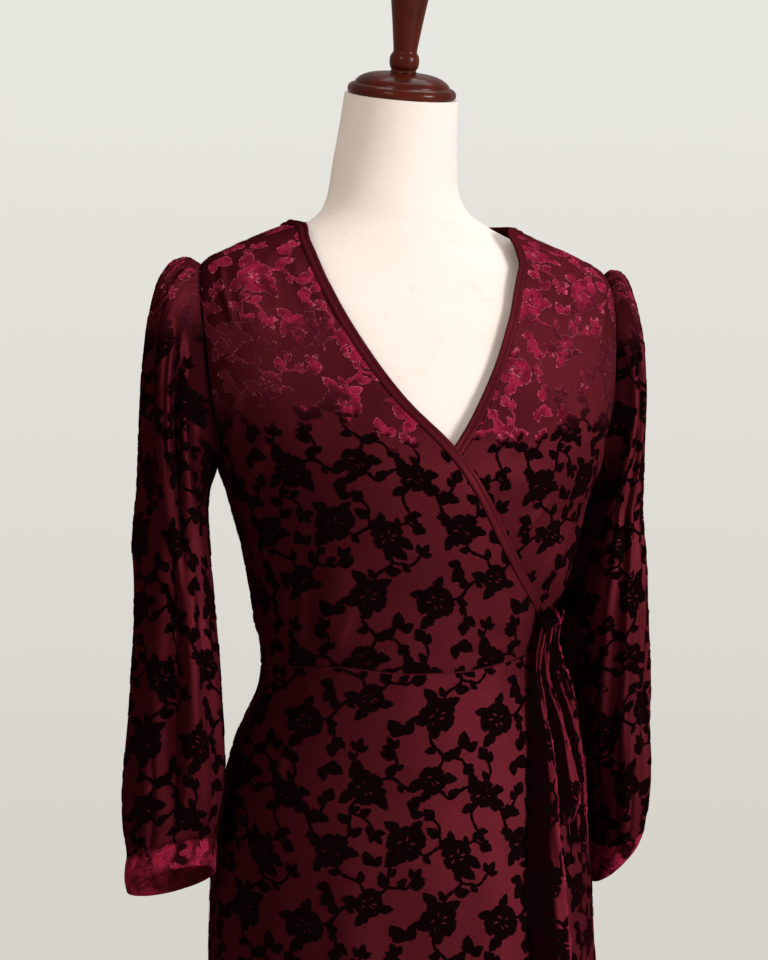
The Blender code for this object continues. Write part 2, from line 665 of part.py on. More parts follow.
# ---------------------------------------------------------------- sleeves and cuffs
def hanging_ring(rows, side, turn, height):
    """Ring of a hanging sleeve: turn 0 is away from the body, 90 the front, 180 towards it."""
    c = {name: column(rows, name, height) for name in Hang._fields[1:]}
    turn = np.radians(turn)
    twist = np.radians(c["twist"])
    wide = c["half_wide"] * np.cos(turn)
    deep = c["half_deep"] * np.sin(turn)
    out = wide * np.cos(twist) + deep * np.sin(twist)
    ahead = deep * np.cos(twist) - wide * np.sin(twist)
    tilt = c["slope_out"] * out + c["slope_front"] * ahead
    return np.stack([side * (c["centre_out"] + out), c["centre_y"] - ahead, height + tilt], axis=-1)


def sleeve_turns(even):
    """Turn of each column: packed on the head for its pleats, evenly spread where even is 1."""
    head_columns = HEAD_PLEATS * PLEAT_COLUMNS
    rest = SLEEVE_COLUMNS - head_columns
    packed = np.concatenate([
        np.linspace(-HEAD_HALF_TURN, HEAD_HALF_TURN, head_columns, endpoint=False),
        np.linspace(HEAD_HALF_TURN, 360 - HEAD_HALF_TURN, rest, endpoint=False)])
    spread = packed[0] + 360 * np.arange(SLEEVE_COLUMNS) / SLEEVE_COLUMNS
    return packed * (1 - even) + spread * even


def sleeve(name, side, puff, rows, finish, collection):
    """A sleeve: a cap that springs from the armhole, then a full tube gathered into the cuff."""
    hang_top = rows[0].height
    wave = np.cos(2 * np.pi * np.arange(SLEEVE_COLUMNS) / PLEAT_COLUMNS)
    grid = []
    for t in CAP_STATIONS:
        turn = sleeve_turns(EVEN_BY_ELBOW * t)
        swing, height = armhole(turn, ARMHOLE_INSET)
        start = ring(CLOTH, side * (90 - swing), height)
        end = hanging_ring(rows, side, turn, np.full(turn.shape, hang_top))
        high = (1 + np.cos(np.radians(turn))) / 2
        away = np.stack([side * (LOW_PULL_OUT + (puff - LOW_PULL_OUT) * high),
                         -FRONT_PUFF * np.sin(np.radians(turn)),
                         LOW_PULL_UP + (HEAD_PUFF_UP - LOW_PULL_UP) * high], axis=-1)
        fall = np.linalg.norm(end - start, axis=-1, keepdims=True) * [0, 0, -1.0]
        point = (start * (1 + 2 * t) * (1 - t) ** 2 + end * t * t * (3 - 2 * t)
                 + away * t * (1 - t) ** 2 - fall * t * t * (1 - t))
        grid.append(point)
    for height in np.linspace(hang_top, rows[-1].height, HANG_ROWS + 1)[1:]:
        below = (hang_top - height) / (hang_top - rows[-1].height)
        turn = sleeve_turns(EVEN_BY_ELBOW + (1 - EVEN_BY_ELBOW) * below)
        grid.append(hanging_ring(rows, side, turn, np.full(turn.shape, height)))
    grid = np.array(grid)
    down = np.gradient(grid, axis=0)
    around = np.roll(grid, -1, axis=1) - np.roll(grid, 1, axis=1)
    normal = np.cross(around, down) * side
    normal /= np.linalg.norm(normal, axis=-1, keepdims=True)
    run = np.linspace(0, 1, len(grid))[:, None]
    turn = sleeve_turns(EVEN_BY_ELBOW)[None, :]
    head = ease(np.cos(np.radians(turn)), 0, HEAD_FULL) * ease(run, 0, HEAD_IN) * ease(run, *HEAD_OUT)
    gather = ease(run, *GATHER_IN) * (1 - GATHER_FLAT * ease(run, GATHER_IN[1], 1))
    lift = wave[None, :] * (HEAD_PLEAT_RISE * head + GATHER_RISE * gather)
    for f in SLEEVE_FOLDS:
        rise = f.rise * ease(run, 0, FOLD_IN) * ease(run, *FOLD_OUT)
        lift = lift + rise * np.exp(-(turned_by(turn, f.turn) / f.width) ** 2)
    grid = grid + normal * lift[..., None]
    return cloth(name, grid, finish, collection, closed=True)


def cuff(name, side, rows, finish, collection):
    """A narrow closed band below the sleeve."""
    turn = np.linspace(0, 360, CUFF_COLUMNS, endpoint=False)
    grid = [hanging_ring(rows, side, turn, np.full(turn.shape, row.height)) for row in rows]
    return cloth(name, np.array(grid), finish, collection, wall=CUFF_WALL, closed=True)


# ---------------------------------------------------------------- ties
def ribbon(name, rows, finish, collection):
    """A limp strip of the tie, lying on the skirt along a path and curled across its width."""
    rows = list(rows)
    index = np.arange(len(rows))
    fine = np.linspace(0, len(rows) - 1, RIBBON_ROWS + 1)
    angle, height, out, half, curl = (smooth(index, [getattr(row, name) for row in rows], fine)
                                      for name in Strip._fields)
    path = np.stack([angle, height], axis=-1)
    columns = []
    for share in np.linspace(-1, 1, RIBBON_COLUMNS + 1):
        aside = inset_edge(path, share * half, 1)
        lift = out + curl * share * share
        columns.append(on_cloth(aside[:, 0], aside[:, 1], lift))
    return cloth(name, np.stack(columns, axis=1), finish, collection, wall=TIE_WALL)


def knot(finish, collection):
    """The knot: a small soft lump at the left waist, wrapped from a coarse cage."""
    bpy.ops.mesh.primitive_cube_add(size=1.0)
    item = adopt("tie_knot", finish, collection)
    for vertex in item.data.vertices:
        vertex.co = [a * b for a, b in zip(vertex.co, KNOT_CAGE)]
    item.location = on_cloth(KNOT_ANGLE, KNOT_HEIGHT, KNOT_OUT).tolist()
    item.rotation_euler = (0.0, math.radians(KNOT_LEAN), math.radians(KNOT_ANGLE))
    soft = item.modifiers.new("soft", "SUBSURF")
    soft.levels = KNOT_ROUNDING
    soft.render_levels = KNOT_ROUNDING
    return item


# ---------------------------------------------------------------- dress form and stand
def form_torso(finish, collection):
    """The covered body and neck: one loft of rings, whose upper rings lean forward with the neck."""
    angle = np.linspace(0, 360, FORM_COLUMNS, endpoint=False)
    rings = []
    for row in FORM:
        points = ring(FORM, angle, np.full(angle.shape, row.height))
        points[:, 2] += math.tan(math.radians(row.lean)) * (points[:, 1] - row.centre_y)
        rings.append(points)
    mesh = grid_mesh("form_torso", np.array(rings), closed=True)
    shape = bmesh.new()
    shape.from_mesh(mesh)
    bmesh.ops.holes_fill(shape, edges=[edge for edge in shape.edges if edge.is_boundary], sides=0)
    bmesh.ops.recalc_face_normals(shape, faces=shape.faces)
    shape.to_mesh(mesh)
    shape.free()
    mesh.shade_smooth()
    mesh.set_sharp_from_angle(angle=math.radians(SHARP_ANGLE))
    return add("form_torso", mesh, finish, collection)


def stand(finish, collection):
    """Turned parts: cap and finial along the leaning neck axis, collar, pole and base upright."""
    neck = FORM[-1]
    lean = math.radians(neck.lean)
    for name, profile, start in (("neck_cap", CAP_PROFILE, PART_GAP),
                                 ("finial", FINIAL_PROFILE, CAP_PROFILE[0][1] + 2 * PART_GAP)):
        item = turned(name, profile, TURNED_SEGMENTS, finish, collection)
        item.rotation_euler = (lean, 0.0, 0.0)
        item.location = (0.0, neck.centre_y - start * math.sin(lean), neck.height + start * math.cos(lean))
    collar = turned("pole_collar", COLLAR_PROFILE, TURNED_SEGMENTS, finish, collection)
    collar.location = (0.0, 0.0, FORM[0].height - PART_GAP)
    turned("base", BASE_PROFILE, TURNED_SEGMENTS, finish, collection)
    bpy.ops.mesh.primitive_cylinder_add(
        vertices=TURNED_SEGMENTS, radius=POLE_RADIUS, depth=POLE_LENGTH,
        location=(0.0, 0.0, BASE_HEIGHT + PART_GAP + POLE_LENGTH / 2))
    pole = adopt("pole", finish, collection)
    pole.data.set_sharp_from_angle(angle=math.radians(SHARP_ANGLE))


def build():
    for item in list(bpy.data.objects):
        bpy.data.objects.remove(item, do_unlink=True)
    collection = bpy.data.collections.new("wrap_dress_on_dress_form")
    bpy.context.scene.collection.children.link(collection)
    velvet = material("velvet", (0.10, 0.012, 0.022), 0.75)
    trim = material("velvet_trim", (0.13, 0.014, 0.028), 0.65)
    cover = material("form_cover", (0.80, 0.74, 0.68), 0.9)
    wood = material("dark_wood", (0.06, 0.012, 0.008), 0.25)

    front_bodice("bodice_front_right", UPPER_EDGE, -90, UPPER_COLUMNS, False, velvet, collection)
    front_bodice("bodice_front_left", LOWER_EDGE, 90, LOWER_COLUMNS, True, velvet, collection)
    back_bodice(velvet, collection)
    front = (SEAM_DEGREES - 90, 90 - SEAM_DEGREES)
    back = (90 + SEAM_DEGREES, 270 - SEAM_DEGREES)
    binding("binding_right_front", along(UPPER_EDGE, EDGE_POINTS), 1, front, False, trim, collection)
    binding("binding_left_front", along(LOWER_EDGE, EDGE_POINTS), -1, front, True, trim, collection)
    binding("binding_back_neck", back_neck_edge(BACK_NECK_COLUMNS + 1), 1, back, False, trim,
            collection)

    skirt_panel("skirt_front_right", skirt_wrap_edge(), skirt_side(front[0]),
                UPPER_COLUMNS, False, velvet, collection)
    skirt_panel("skirt_front_left", skirt_side(front[1]), skirt_side(LOWER_SKIRT_END),
                LOWER_COLUMNS, True, velvet, collection)
    skirt_panel("skirt_back", skirt_side(back[1]), skirt_side(back[0]),
                BACK_COLUMNS, False, velvet, collection)

    for name, side, sleeve_rows, cuff_rows in (("right", -1, SLEEVE_RIGHT, CUFF_RIGHT),
                                               ("left", 1, SLEEVE_LEFT, CUFF_LEFT)):
        sleeve("sleeve_" + name, side, HEAD_PUFF[name], sleeve_rows, velvet, collection)
        cuff("cuff_" + name, side, cuff_rows, trim, collection)

    for name, rows in TIES.items():
        ribbon(name, rows, trim, collection)
    knot(trim, collection)
    form_torso(cover, collection)
    stand(wood, collection)


build()
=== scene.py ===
"""Looks of a wrap dress in burned-out velvet on a limbless dress form.

Metres, +Z up, the front faces -Y and +X is the wearer's left. The cloth lies on one smooth surface,
given by an angle round the body (0 at the centre front, 90 at the wearer's left side) and a height.
"""
import json
import math
from collections import namedtuple

import bpy
import numpy as np
from mathutils import Matrix, Vector
from mathutils.geometry import delaunay_2d_cdt

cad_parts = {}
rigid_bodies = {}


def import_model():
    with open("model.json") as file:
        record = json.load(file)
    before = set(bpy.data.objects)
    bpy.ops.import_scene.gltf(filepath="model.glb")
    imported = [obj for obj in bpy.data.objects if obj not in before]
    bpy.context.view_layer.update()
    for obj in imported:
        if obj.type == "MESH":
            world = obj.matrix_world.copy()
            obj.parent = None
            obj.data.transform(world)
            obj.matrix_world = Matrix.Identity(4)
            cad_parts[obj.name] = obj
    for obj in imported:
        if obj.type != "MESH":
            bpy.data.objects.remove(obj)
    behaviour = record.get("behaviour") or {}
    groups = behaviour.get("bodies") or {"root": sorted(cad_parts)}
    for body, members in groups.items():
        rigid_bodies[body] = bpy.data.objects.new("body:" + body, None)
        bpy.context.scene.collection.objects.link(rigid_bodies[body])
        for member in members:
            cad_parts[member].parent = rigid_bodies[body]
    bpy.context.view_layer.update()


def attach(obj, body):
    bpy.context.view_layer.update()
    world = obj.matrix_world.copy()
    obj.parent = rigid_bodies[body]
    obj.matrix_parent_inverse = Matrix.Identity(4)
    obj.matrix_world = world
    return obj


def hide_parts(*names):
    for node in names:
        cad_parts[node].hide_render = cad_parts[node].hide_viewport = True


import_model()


def listed(kind, *rows):
    """A table of named rows."""
    return tuple(kind(*row) for row in rows)


# ---- sizes (metres, degrees)
WALL = 0.0009                   # the bare ground of the velvet
SEAM_GAP = -0.0004              # a panel reaches this far into the binding's fold
LAYER_STEP = 0.0048             # how far the lower layer of the wrap lies under the upper one
BINDING = 0.009                 # width of the bound edges
BINDING_WALL = 0.0018
SEAM_DEGREES = -0.02            # the panels meet at the seams with this much overlap
ON_SEAM = 0.1                   # degrees from a seam within which an edge belongs to it
SHOULDER_LAP = 0.10             # degrees that the fronts reach into the shoulder seam
FRONT = (SEAM_DEGREES - 90, 90 - SEAM_DEGREES)
BACK = (90 + SEAM_DEGREES, 270 - SEAM_DEGREES)
HEM = 0.270                     # height of the hem over the floor
SHOULDER_TIP = 1.3655           # top and foot of the armhole
UNDERARM = 1.188
ARMHOLE_HALF_ANGLE = 12.0       # degrees that it reaches to each side of the side seam
ARMHOLE_RADIUS = 0.080
CREASE_RADIUS = 0.15
DROP_START = 0.040              # the lower layer starts to sink this far outside the upper one's edge
DROP_RUN = 0.055
PROBE = 0.0005                  # step for measuring slopes
PROBE_DEGREES = 0.1
EDGE_SAMPLES = 1200

# Rows and columns of the panels' grids.
ARMHOLE_ROWS = 72
SIDE_ROWS = 36
EDGE_POINTS = ARMHOLE_ROWS + SIDE_ROWS + 1
SKIRT_ROWS = 150
FRONT_COLUMNS = 92
SKIRT_COLUMNS = 112
BACK_COLUMNS = 120
BACK_SHOULDER_COLUMNS = 34
BACK_NECK_COLUMNS = 52

Section = namedtuple("Section", "height half_width front back centre_y")
CLOTH = listed(Section,
    (0.27, 0.217, 0.19, 0.196, 0.002), (0.45, 0.203, 0.172, 0.178, 0.002),
    (0.6, 0.19, 0.156, 0.162, 0.002), (0.74, 0.178, 0.142, 0.148, 0.002),
    (0.81, 0.177, 0.135, 0.14, 0.002), (0.88, 0.172, 0.124, 0.124, 0.0),
    (0.94, 0.158, 0.113, 0.108, -0.003), (1.004, 0.134, 0.101, 0.097, -0.006),
    (1.06, 0.138, 0.104, 0.099, -0.01), (1.12, 0.156, 0.115, 0.103, -0.014),
    (1.175, 0.174, 0.123, 0.106, -0.018), (1.205, 0.184, 0.114, 0.107, -0.019),
    (1.24, 0.195, 0.094, 0.107, -0.02), (1.28, 0.201, 0.075, 0.104, -0.02),
    (1.32, 0.202, 0.061, 0.099, -0.019), (1.35, 0.2, 0.052, 0.092, -0.016),
    (1.366, 0.193, 0.05, 0.086, -0.013), (1.382, 0.164, 0.051, 0.079, -0.007),
    (1.396, 0.131, 0.053, 0.071, 0.0), (1.408, 0.104, 0.055, 0.064, 0.006),
    (1.422, 0.082, 0.054, 0.056, 0.012),
)
Edge = namedtuple("Edge", "height angle")

# Free edge of the upper front, from the wearer's right neck point to the knot at the left waist.
UPPER_EDGE = listed(Edge,
    (1.4074, -89.7), (1.402, -61.0), (1.39, -46.0), (1.368, -32.0), (1.347, -28.0), (1.325, -25.0),
    (1.283, -18.5), (1.241, -11.0), (1.203, -1.5), (1.171, 6.0), (1.118, 20.5), (1.087, 33.0),
    (1.063, 46.0), (1.033, 60.0),
)

# Free edge of the lower front, from the wearer's left neck point down under the upper front.
LOWER_EDGE = listed(Edge,
    (1.4074, 89.7), (1.401, 48.0), (1.386, 35.0), (1.362, 26.5), (1.318, 20.5), (1.274, 14.0),
    (1.231, 5.5), (1.203, -1.5), (1.171, -9.0), (1.118, -24.0), (1.063, -43.0), (1.011, -60.0),
)

# Free edge of the upper skirt, from the knot to the hem.
SKIRT_EDGE = listed(Edge,
    (1.034, 60.0), (0.99, 44.0), (0.95, 33.0), (0.91, 28.5), (0.841, 24.5), (0.76, 22.5), (0.27, 20.0),
)
NECK_POINT = UPPER_EDGE[0].height
LOWER_SKIRT_END = -58.0         # angle where the lower skirt ends, under the upper one

Waist = namedtuple("Waist", "angle height")

# Height of the waist seam around the body: the tie draws it up at the wearer's left side.
WAIST = listed(Waist,
    (-180, 1.006), (-90, 1.01), (-45, 1.012), (-14, 1.006), (5, 1.007), (28, 1.015), (48, 1.027),
    (62, 1.034), (80, 1.033), (105, 1.022), (135, 1.011), (180, 1.006),
)

Flute = namedtuple("Flute", "angle width rise start")

# Soft flutes of the skirt: where each is, how wide (degrees), its rise at the hem, where it starts.
FLUTES = listed(Flute,
    (-85, 8, 0.012, 0.9), (-58, 7, 0.015, 0.92), (-31, 7, 0.017, 0.97), (-8, 6, 0.012, 0.88),
    (12, 6, 0.015, 0.98), (44, 7, 0.016, 0.95), (73, 8, 0.014, 0.93), (102, 8, 0.016, 0.9),
    (128, 7, 0.013, 0.88), (156, 8, 0.017, 0.94), (184, 7, 0.012, 0.86), (211, 8, 0.016, 0.92),
    (243, 8, 0.014, 0.88),
)

Crease = namedtuple("Crease", "angle height end_angle end_height width rise")
CREASE_IN = 0.3                 # shares of a crease's length: full rise, end, and start of its fading
CREASE_END = 1.1
CREASE_FULL = 0.7

# Creases of the bodice and of the skirt's top: start, end, width and rise. The first seven are in
# the solids too.
CREASES = listed(Crease,
    (56, 1.062, 74, 1.13, 0.017, 0.0042), (47, 1.075, 52, 1.15, 0.015, 0.0032),
    (44, 1.046, 8, 1.075, 0.018, 0.0028), (-52, 1.03, -38, 1.11, 0.018, 0.003),
    (-62, 1.385, -50, 1.29, 0.018, 0.003), (115, 1.035, 100, 1.12, 0.018, 0.0032),
    (-110, 1.03, -98, 1.11, 0.018, 0.003), (20, 1.117, 34, 1.158, 0.0028, 0.003),
    (41, 1.066, 45, 1.138, 0.0028, 0.003), (52, 1.07, 66, 1.15, 0.005, 0.0036),
    (60, 1.062, 80, 1.118, 0.0048, 0.0034), (64, 1.05, 86, 1.085, 0.005, 0.0022),
    (42, 1.09, 38, 1.165, 0.005, 0.0019), (40, 1.062, 12, 1.1, 0.006, 0.0016),
    (42, 1.048, 20, 1.046, 0.005, 0.0016), (40, 1.036, 14, 1.022, 0.0045, 0.0014),
    (-46, 1.022, -34, 1.08, 0.005, 0.0016), (-64, 1.02, -56, 1.1, 0.006, 0.0019),
    (-76, 1.024, -66, 1.085, 0.006, 0.0018), (-78, 1.16, -56, 1.215, 0.007, 0.0026),
    (-80, 1.185, -62, 1.255, 0.006, 0.0019), (-70, 1.372, -60, 1.3, 0.005, 0.0021),
    (-52, 1.392, -44, 1.33, 0.0045, 0.0016), (-40, 1.376, -34, 1.318, 0.004, 0.0016),
    (-33, 1.352, -29, 1.305, 0.0035, 0.0014), (70, 1.374, 58, 1.3, 0.006, 0.0021),
    (50, 1.384, 42, 1.32, 0.005, 0.0016), (78, 1.17, 58, 1.225, 0.006, 0.0022),
    (108, 1.03, 98, 1.1, 0.006, 0.0019), (128, 1.022, 120, 1.09, 0.007, 0.0016),
    (104, 1.17, 128, 1.225, 0.007, 0.0022), (112, 1.38, 124, 1.3, 0.006, 0.0018),
    (150, 1.385, 152, 1.3, 0.007, 0.0014), (-102, 1.17, -126, 1.228, 0.007, 0.0022),
    (-116, 1.376, -128, 1.3, 0.006, 0.0019), (-108, 1.028, -100, 1.095, 0.006, 0.0018),
    (-134, 1.02, -128, 1.088, 0.006, 0.0016), (178, 1.02, 160, 1.06, 0.007, 0.0014),
    (-162, 1.018, -150, 1.066, 0.006, 0.0014), (47, 1.024, 42, 0.9, 0.0046, 0.0026),
    (53, 1.024, 50, 0.88, 0.005, 0.0029), (59, 1.024, 60, 0.9, 0.0046, 0.0022),
    (41, 1.016, 33, 0.93, 0.004, 0.0021), (36, 1.01, 24, 0.9, 0.0046, 0.0014),
    (66, 1.026, 72, 0.9, 0.0055, 0.0021), (-56, 1.004, -60, 0.9, 0.007, 0.0016),
    (-84, 1.004, -82, 0.88, 0.007, 0.0019), (96, 1.014, 98, 0.88, 0.007, 0.0021),
    (132, 1.006, 136, 0.88, 0.007, 0.0018), (172, 1.0, 170, 0.87, 0.008, 0.0018),
    (-140, 1.002, -144, 0.87, 0.007, 0.0019), (-112, 1.004, -110, 0.88, 0.007, 0.0016),
)
SKIRT_RIPPLES = listed(Flute,
    (-72, 3.0, 0.003, 0.86), (-44, 3.4, 0.005, 0.86), (-20, 2.8, 0.005, 0.9), (6, 2.6, 0.0044, 0.88),
    (27, 3.0, 0.003, 0.86), (59, 3.4, 0.0034, 0.82), (88, 3.0, 0.003, 0.8), (116, 3.2, 0.0034, 0.84),
    (143, 3.0, 0.003, 0.78), (171, 3.4, 0.0032, 0.82), (198, 3.0, 0.003, 0.8), (227, 3.2, 0.0034, 0.84),
    (258, 3.0, 0.0028, 0.82),
)
WAIST_DIP = 0.0007              # the seams draw the cloth in a little
WAIST_DIP_WIDTH = 0.0040
SIDE_DIP = 0.0009
SIDE_DIP_WIDTH = 1.4
SIDE_DIP_FADE = 0.03
Hang = namedtuple("Hang", "height centre_out centre_y half_wide half_deep twist slope_out slope_front")

# Rings of the hanging sleeves, from just below the underarm to the cuff. centre_out is measured
# from the middle of the body, twist turns the ring's front outwards, and the two slopes tilt it.
SLEEVE_RIGHT = listed(Hang,
    (1.146, 0.218, -0.005, 0.0275, 0.052, 15, 0.0, 0.0),
    (1.09, 0.2154, -0.01, 0.0276, 0.053, 15, 0.0, 0.0),
    (1.048, 0.2165, -0.015, 0.0292, 0.053, 12, 0.0, 0.0),
    (1.004, 0.219, -0.02, 0.0328, 0.053, 8, 0.0, 0.0),
    (0.96, 0.2202, -0.02, 0.0358, 0.052, 5, -0.03, 0.05),
    (0.917, 0.2216, -0.02, 0.0376, 0.051, 2, -0.08, 0.12),
    (0.88, 0.2237, -0.02, 0.0391, 0.046, 0, -0.12, 0.22),
    (0.8535, 0.2249, -0.02, 0.0385, 0.031, 0, -0.16, 0.3),
)
CUFF_RIGHT = listed(Hang,
    (0.8545, 0.2249, -0.02, 0.0385, 0.031, 0, -0.16, 0.3),
    (0.8395, 0.2249, -0.02, 0.0392, 0.032, 0, -0.14, 0.38),
    (0.825, 0.2249, -0.02, 0.0385, 0.032, 0, -0.12, 0.5),
)
SLEEVE_LEFT = listed(Hang,
    (1.146, 0.2, 0.0, 0.022, 0.047, 8, 0.0, 0.0), (1.09, 0.197, 0.0, 0.029, 0.052, 10, 0.0, 0.0),
    (1.06, 0.195, 0.0, 0.031, 0.054, 10, 0.0, 0.0), (1.004, 0.2, 0.0, 0.03, 0.051, 8, 0.0, 0.0),
    (0.96, 0.204, 0.0, 0.028, 0.048, 5, 0.05, 0.0), (0.917, 0.2085, 0.0, 0.026, 0.047, 3, 0.15, -0.05),
    (0.873, 0.212, 0.0, 0.0245, 0.045, 0, 0.35, -0.1),
    (0.8485, 0.2135, 0.0, 0.0225, 0.038, 0, 0.5, -0.15),
)
CUFF_LEFT = listed(Hang,
    (0.8495, 0.2135, 0.0, 0.0225, 0.038, 0, 0.5, -0.15),
    (0.8355, 0.214, 0.0, 0.0236, 0.031, 0, 0.72, -0.12),
    (0.8245, 0.2145, 0.0, 0.0236, 0.024, 0, 1.02, -0.04),
)
SleeveFold = namedtuple("SleeveFold", "turn width rise")

# Long soft folds down each sleeve: where round the sleeve, how wide (degrees) and how high.
SLEEVE_FOLDS = listed(SleeveFold,
    (28, 16, 0.0045), (78, 15, 0.005), (128, 16, 0.004), (205, 18, 0.0045), (268, 17, 0.0045),
    (322, 16, 0.004),
)

Strip = namedtuple("Strip", "angle height out half curl turn")

# Stretches of the tie: path over the skirt, distance off the cloth, half width, curl of its edges,
# and how far it is turned edge out, in degrees.
TIES = {
    "tie_tail_long": listed(Strip,
        (46, 1.05, 0.007, 0.006, 0.0005, -5), (43, 1.034, 0.0075, 0.006, 0.0005, -10),
        (41, 1.01, 0.008, 0.0045, 0.0005, -16), (40, 0.986, 0.008, 0.006, 0.0005, -20),
        (35, 0.958, 0.0068, 0.009, 0.0005, -20), (32, 0.92, 0.0062, 0.013, 0.0005, -20),
        (30, 0.88, 0.0058, 0.015, 0.0005, -18), (29, 0.85, 0.0055, 0.017, 0.0005, -15),
        (29, 0.808, 0.0052, 0.02, 0.0005, -12), (30, 0.753, 0.0044, 0.022, 0.0005, -8),
        (30, 0.688, 0.0032, 0.023, 0.0005, -4),
    ),
    "tie_loop": listed(Strip,
        (47, 1.048, 0.01, 0.0045, 0.0005, -15), (46, 1.028, 0.009, 0.0045, 0.0005, -24),
        (46, 1.012, 0.008, 0.0055, 0.0005, -28), (46, 0.99, 0.0066, 0.008, 0.0005, -30),
        (45, 0.97, 0.0056, 0.011, 0.0005, -30), (43, 0.952, 0.005, 0.012, 0.0005, -28),
        (42, 0.93, 0.0046, 0.015, 0.0005, -26), (42, 0.9, 0.0045, 0.017, 0.0005, -24),
        (41, 0.884, 0.0045, 0.0145, 0.0005, -21), (40, 0.874, 0.0045, 0.009, 0.0005, -18),
        (39, 0.868, 0.0045, 0.0035, 0.0005, -18),
    ),
    "tie_tail_short": listed(Strip,
        (50, 1.05, 0.011, 0.006, 0.0005, -25), (51, 1.034, 0.0112, 0.0055, 0.0005, -32),
        (53, 1.015, 0.012, 0.0085, 0.0005, -38), (55, 1.0, 0.0132, 0.01, 0.0005, -42),
        (54, 0.975, 0.0128, 0.011, 0.0005, -42), (52, 0.945, 0.0092, 0.01, 0.0005, -36),
        (51, 0.91, 0.006, 0.0125, 0.0005, -30), (49, 0.88, 0.0045, 0.0125, 0.0005, -24),
        (48, 0.85, 0.004, 0.013, 0.0005, -18),
    ),
    "tie_side": listed(Strip,
        (88, 1.047, 0.0035, 0.014, 0.0, 0), (78, 1.048, 0.004, 0.012, 0.001, 0),
        (66, 1.05, 0.005, 0.008, 0.002, 0),
    ),
}
Body = namedtuple("Body", "height half_width front back centre_y lean")

# The dress form's covered torso and neck, inside the lower layer of cloth and clear of it.
FORM = listed(Body,
    (0.7, 0.138, 0.098, 0.106, 0.002, 0), (0.706, 0.148, 0.108, 0.116, 0.002, 0),
    (0.725, 0.157, 0.117, 0.125, 0.002, 0), (0.77, 0.165, 0.124, 0.131, 0.002, 0),
    (0.81, 0.167, 0.125, 0.13, 0.002, 0), (0.88, 0.161, 0.114, 0.114, 0.0, 0),
    (0.94, 0.147, 0.103, 0.098, -0.003, 0), (1.004, 0.1245, 0.0915, 0.088, -0.006, 0),
    (1.06, 0.1285, 0.0945, 0.09, -0.01, 0), (1.12, 0.146, 0.105, 0.094, -0.014, 0),
    (1.175, 0.16, 0.113, 0.097, -0.018, 0), (1.21, 0.166, 0.101, 0.098, -0.019, 0),
    (1.25, 0.171, 0.081, 0.099, -0.02, 0), (1.29, 0.177, 0.064, 0.096, -0.02, 0),
    (1.325, 0.18, 0.052, 0.092, -0.019, 0), (1.345, 0.176, 0.046, 0.086, -0.016, 0),
    (1.36, 0.166, 0.044, 0.08, -0.013, 0), (1.378, 0.142, 0.044, 0.072, -0.006, 0),
    (1.394, 0.112, 0.045, 0.06, 0.004, 0), (1.408, 0.086, 0.049, 0.049, 0.013, 0),
    (1.422, 0.069, 0.05, 0.048, 0.02, 1), (1.44, 0.061, 0.05, 0.05, 0.0235, 3),
    (1.464, 0.058, 0.05, 0.05, 0.02, 7), (1.492, 0.0545, 0.05, 0.05, 0.013, 11),
    (1.5245, 0.052, 0.049, 0.049, 0.004, 13.5),
)

# ---- sleeves
HEAD_PLEATS = 9                 # gathers sewn into the sleeve's head, and columns for each
PLEAT_COLUMNS = 4
SLEEVE_COLUMNS = 52
SLEEVE_FINENESS = 3             # fine columns for each column of the solid
PLEAT_SHARPNESS = 0.75
HEAD_HALF_TURN = 78.0           # degrees to each side of the shoulder that they take up
EVEN_BY_ELBOW = 0.6             # how evenly the columns are spread where the cap ends
CAP_ROWS = 46
HANG_ROWS = 64
CAP_STATIONS = (0.0, 0.10, 0.24, 0.42, 0.68, 1.0)
CAP_SHARES = (0.0, 0.2, 0.4, 0.6, 0.8, 1.0)
CAP_RUN = 5 / 11                # the cap's share of the sleeve's run
ARMHOLE_INSET = 0.0028          # how far inside the armhole the sleeve starts
# How strongly the cap is pulled out, up and forward where it leaves the armhole.
HEAD_PUFF = {"right": 0.17, "left": 0.11}
HEAD_PUFF_UP = 0.100
LOW_PULL_OUT = 0.050
LOW_PULL_UP = -0.030
FRONT_PUFF = 0.060
HEAD_PLEAT_RISE = 0.0032
TUCK_WAVES = 46                 # small tucks sewn into the head seam, none of them quite even
TUCK_SWAY = 70.0                # degrees that they sway, and how often
TUCK_SWAY_WAVES = 5
TUCK_SHARPNESS = 0.8
TUCK_RISE = 0.0015
TUCK_FULL = 0.35                # cosine of the turn where they are full, then shares of the run
TUCK_IN = 0.02
TUCK_REACH = (0.15, 0.03)
GATHER_RISE = 0.0018            # gathers into the cuff
HEAD_FULL = 0.7
HEAD_IN = 0.08
HEAD_OUT = 0.05
GATHER_IN = (0.72, 0.92)
GATHER_FLAT = 0.5
FOLD_IN = 0.25                  # shares of the run where the long folds swell and fade
FOLD_OUT = (1.0, 0.9)
Pleat = namedtuple("Pleat", "depth reach")

# Depth of each gather, and the share of the sleeve's run where it is gone.
PLEAT_DEPTHS = listed(Pleat,
    (0.7, 0.3), (1.1, 0.42), (0.9, 0.36), (1.2, 0.52), (1.0, 0.45), (1.25, 0.55), (0.9, 0.38),
    (1.1, 0.48), (0.8, 0.34), (0.6, 0.25), (0.5, 0.22), (0.5, 0.22), (0.6, 0.25),
)
SleeveCrease = namedtuple("SleeveCrease", "turn end_turn width rise start end")
SLEEVE_BACK_CREASES = listed(SleeveCrease,
    (12, 6, 5.0, 0.0031, 0.3, 0.9), (-16, -10, 5.0, 0.0027, 0.24, 0.7),
    (-52, -60, 5.0, 0.0034, 0.3, 0.92), (-74, -68, 5.0, 0.0031, 0.2, 0.8),
    (-118, -124, 5.0, 0.0031, 0.4, 0.94), (146, 152, 5.0, 0.0031, 0.46, 0.94),
    (176, 170, 5.0, 0.0027, 0.5, 0.9),
)
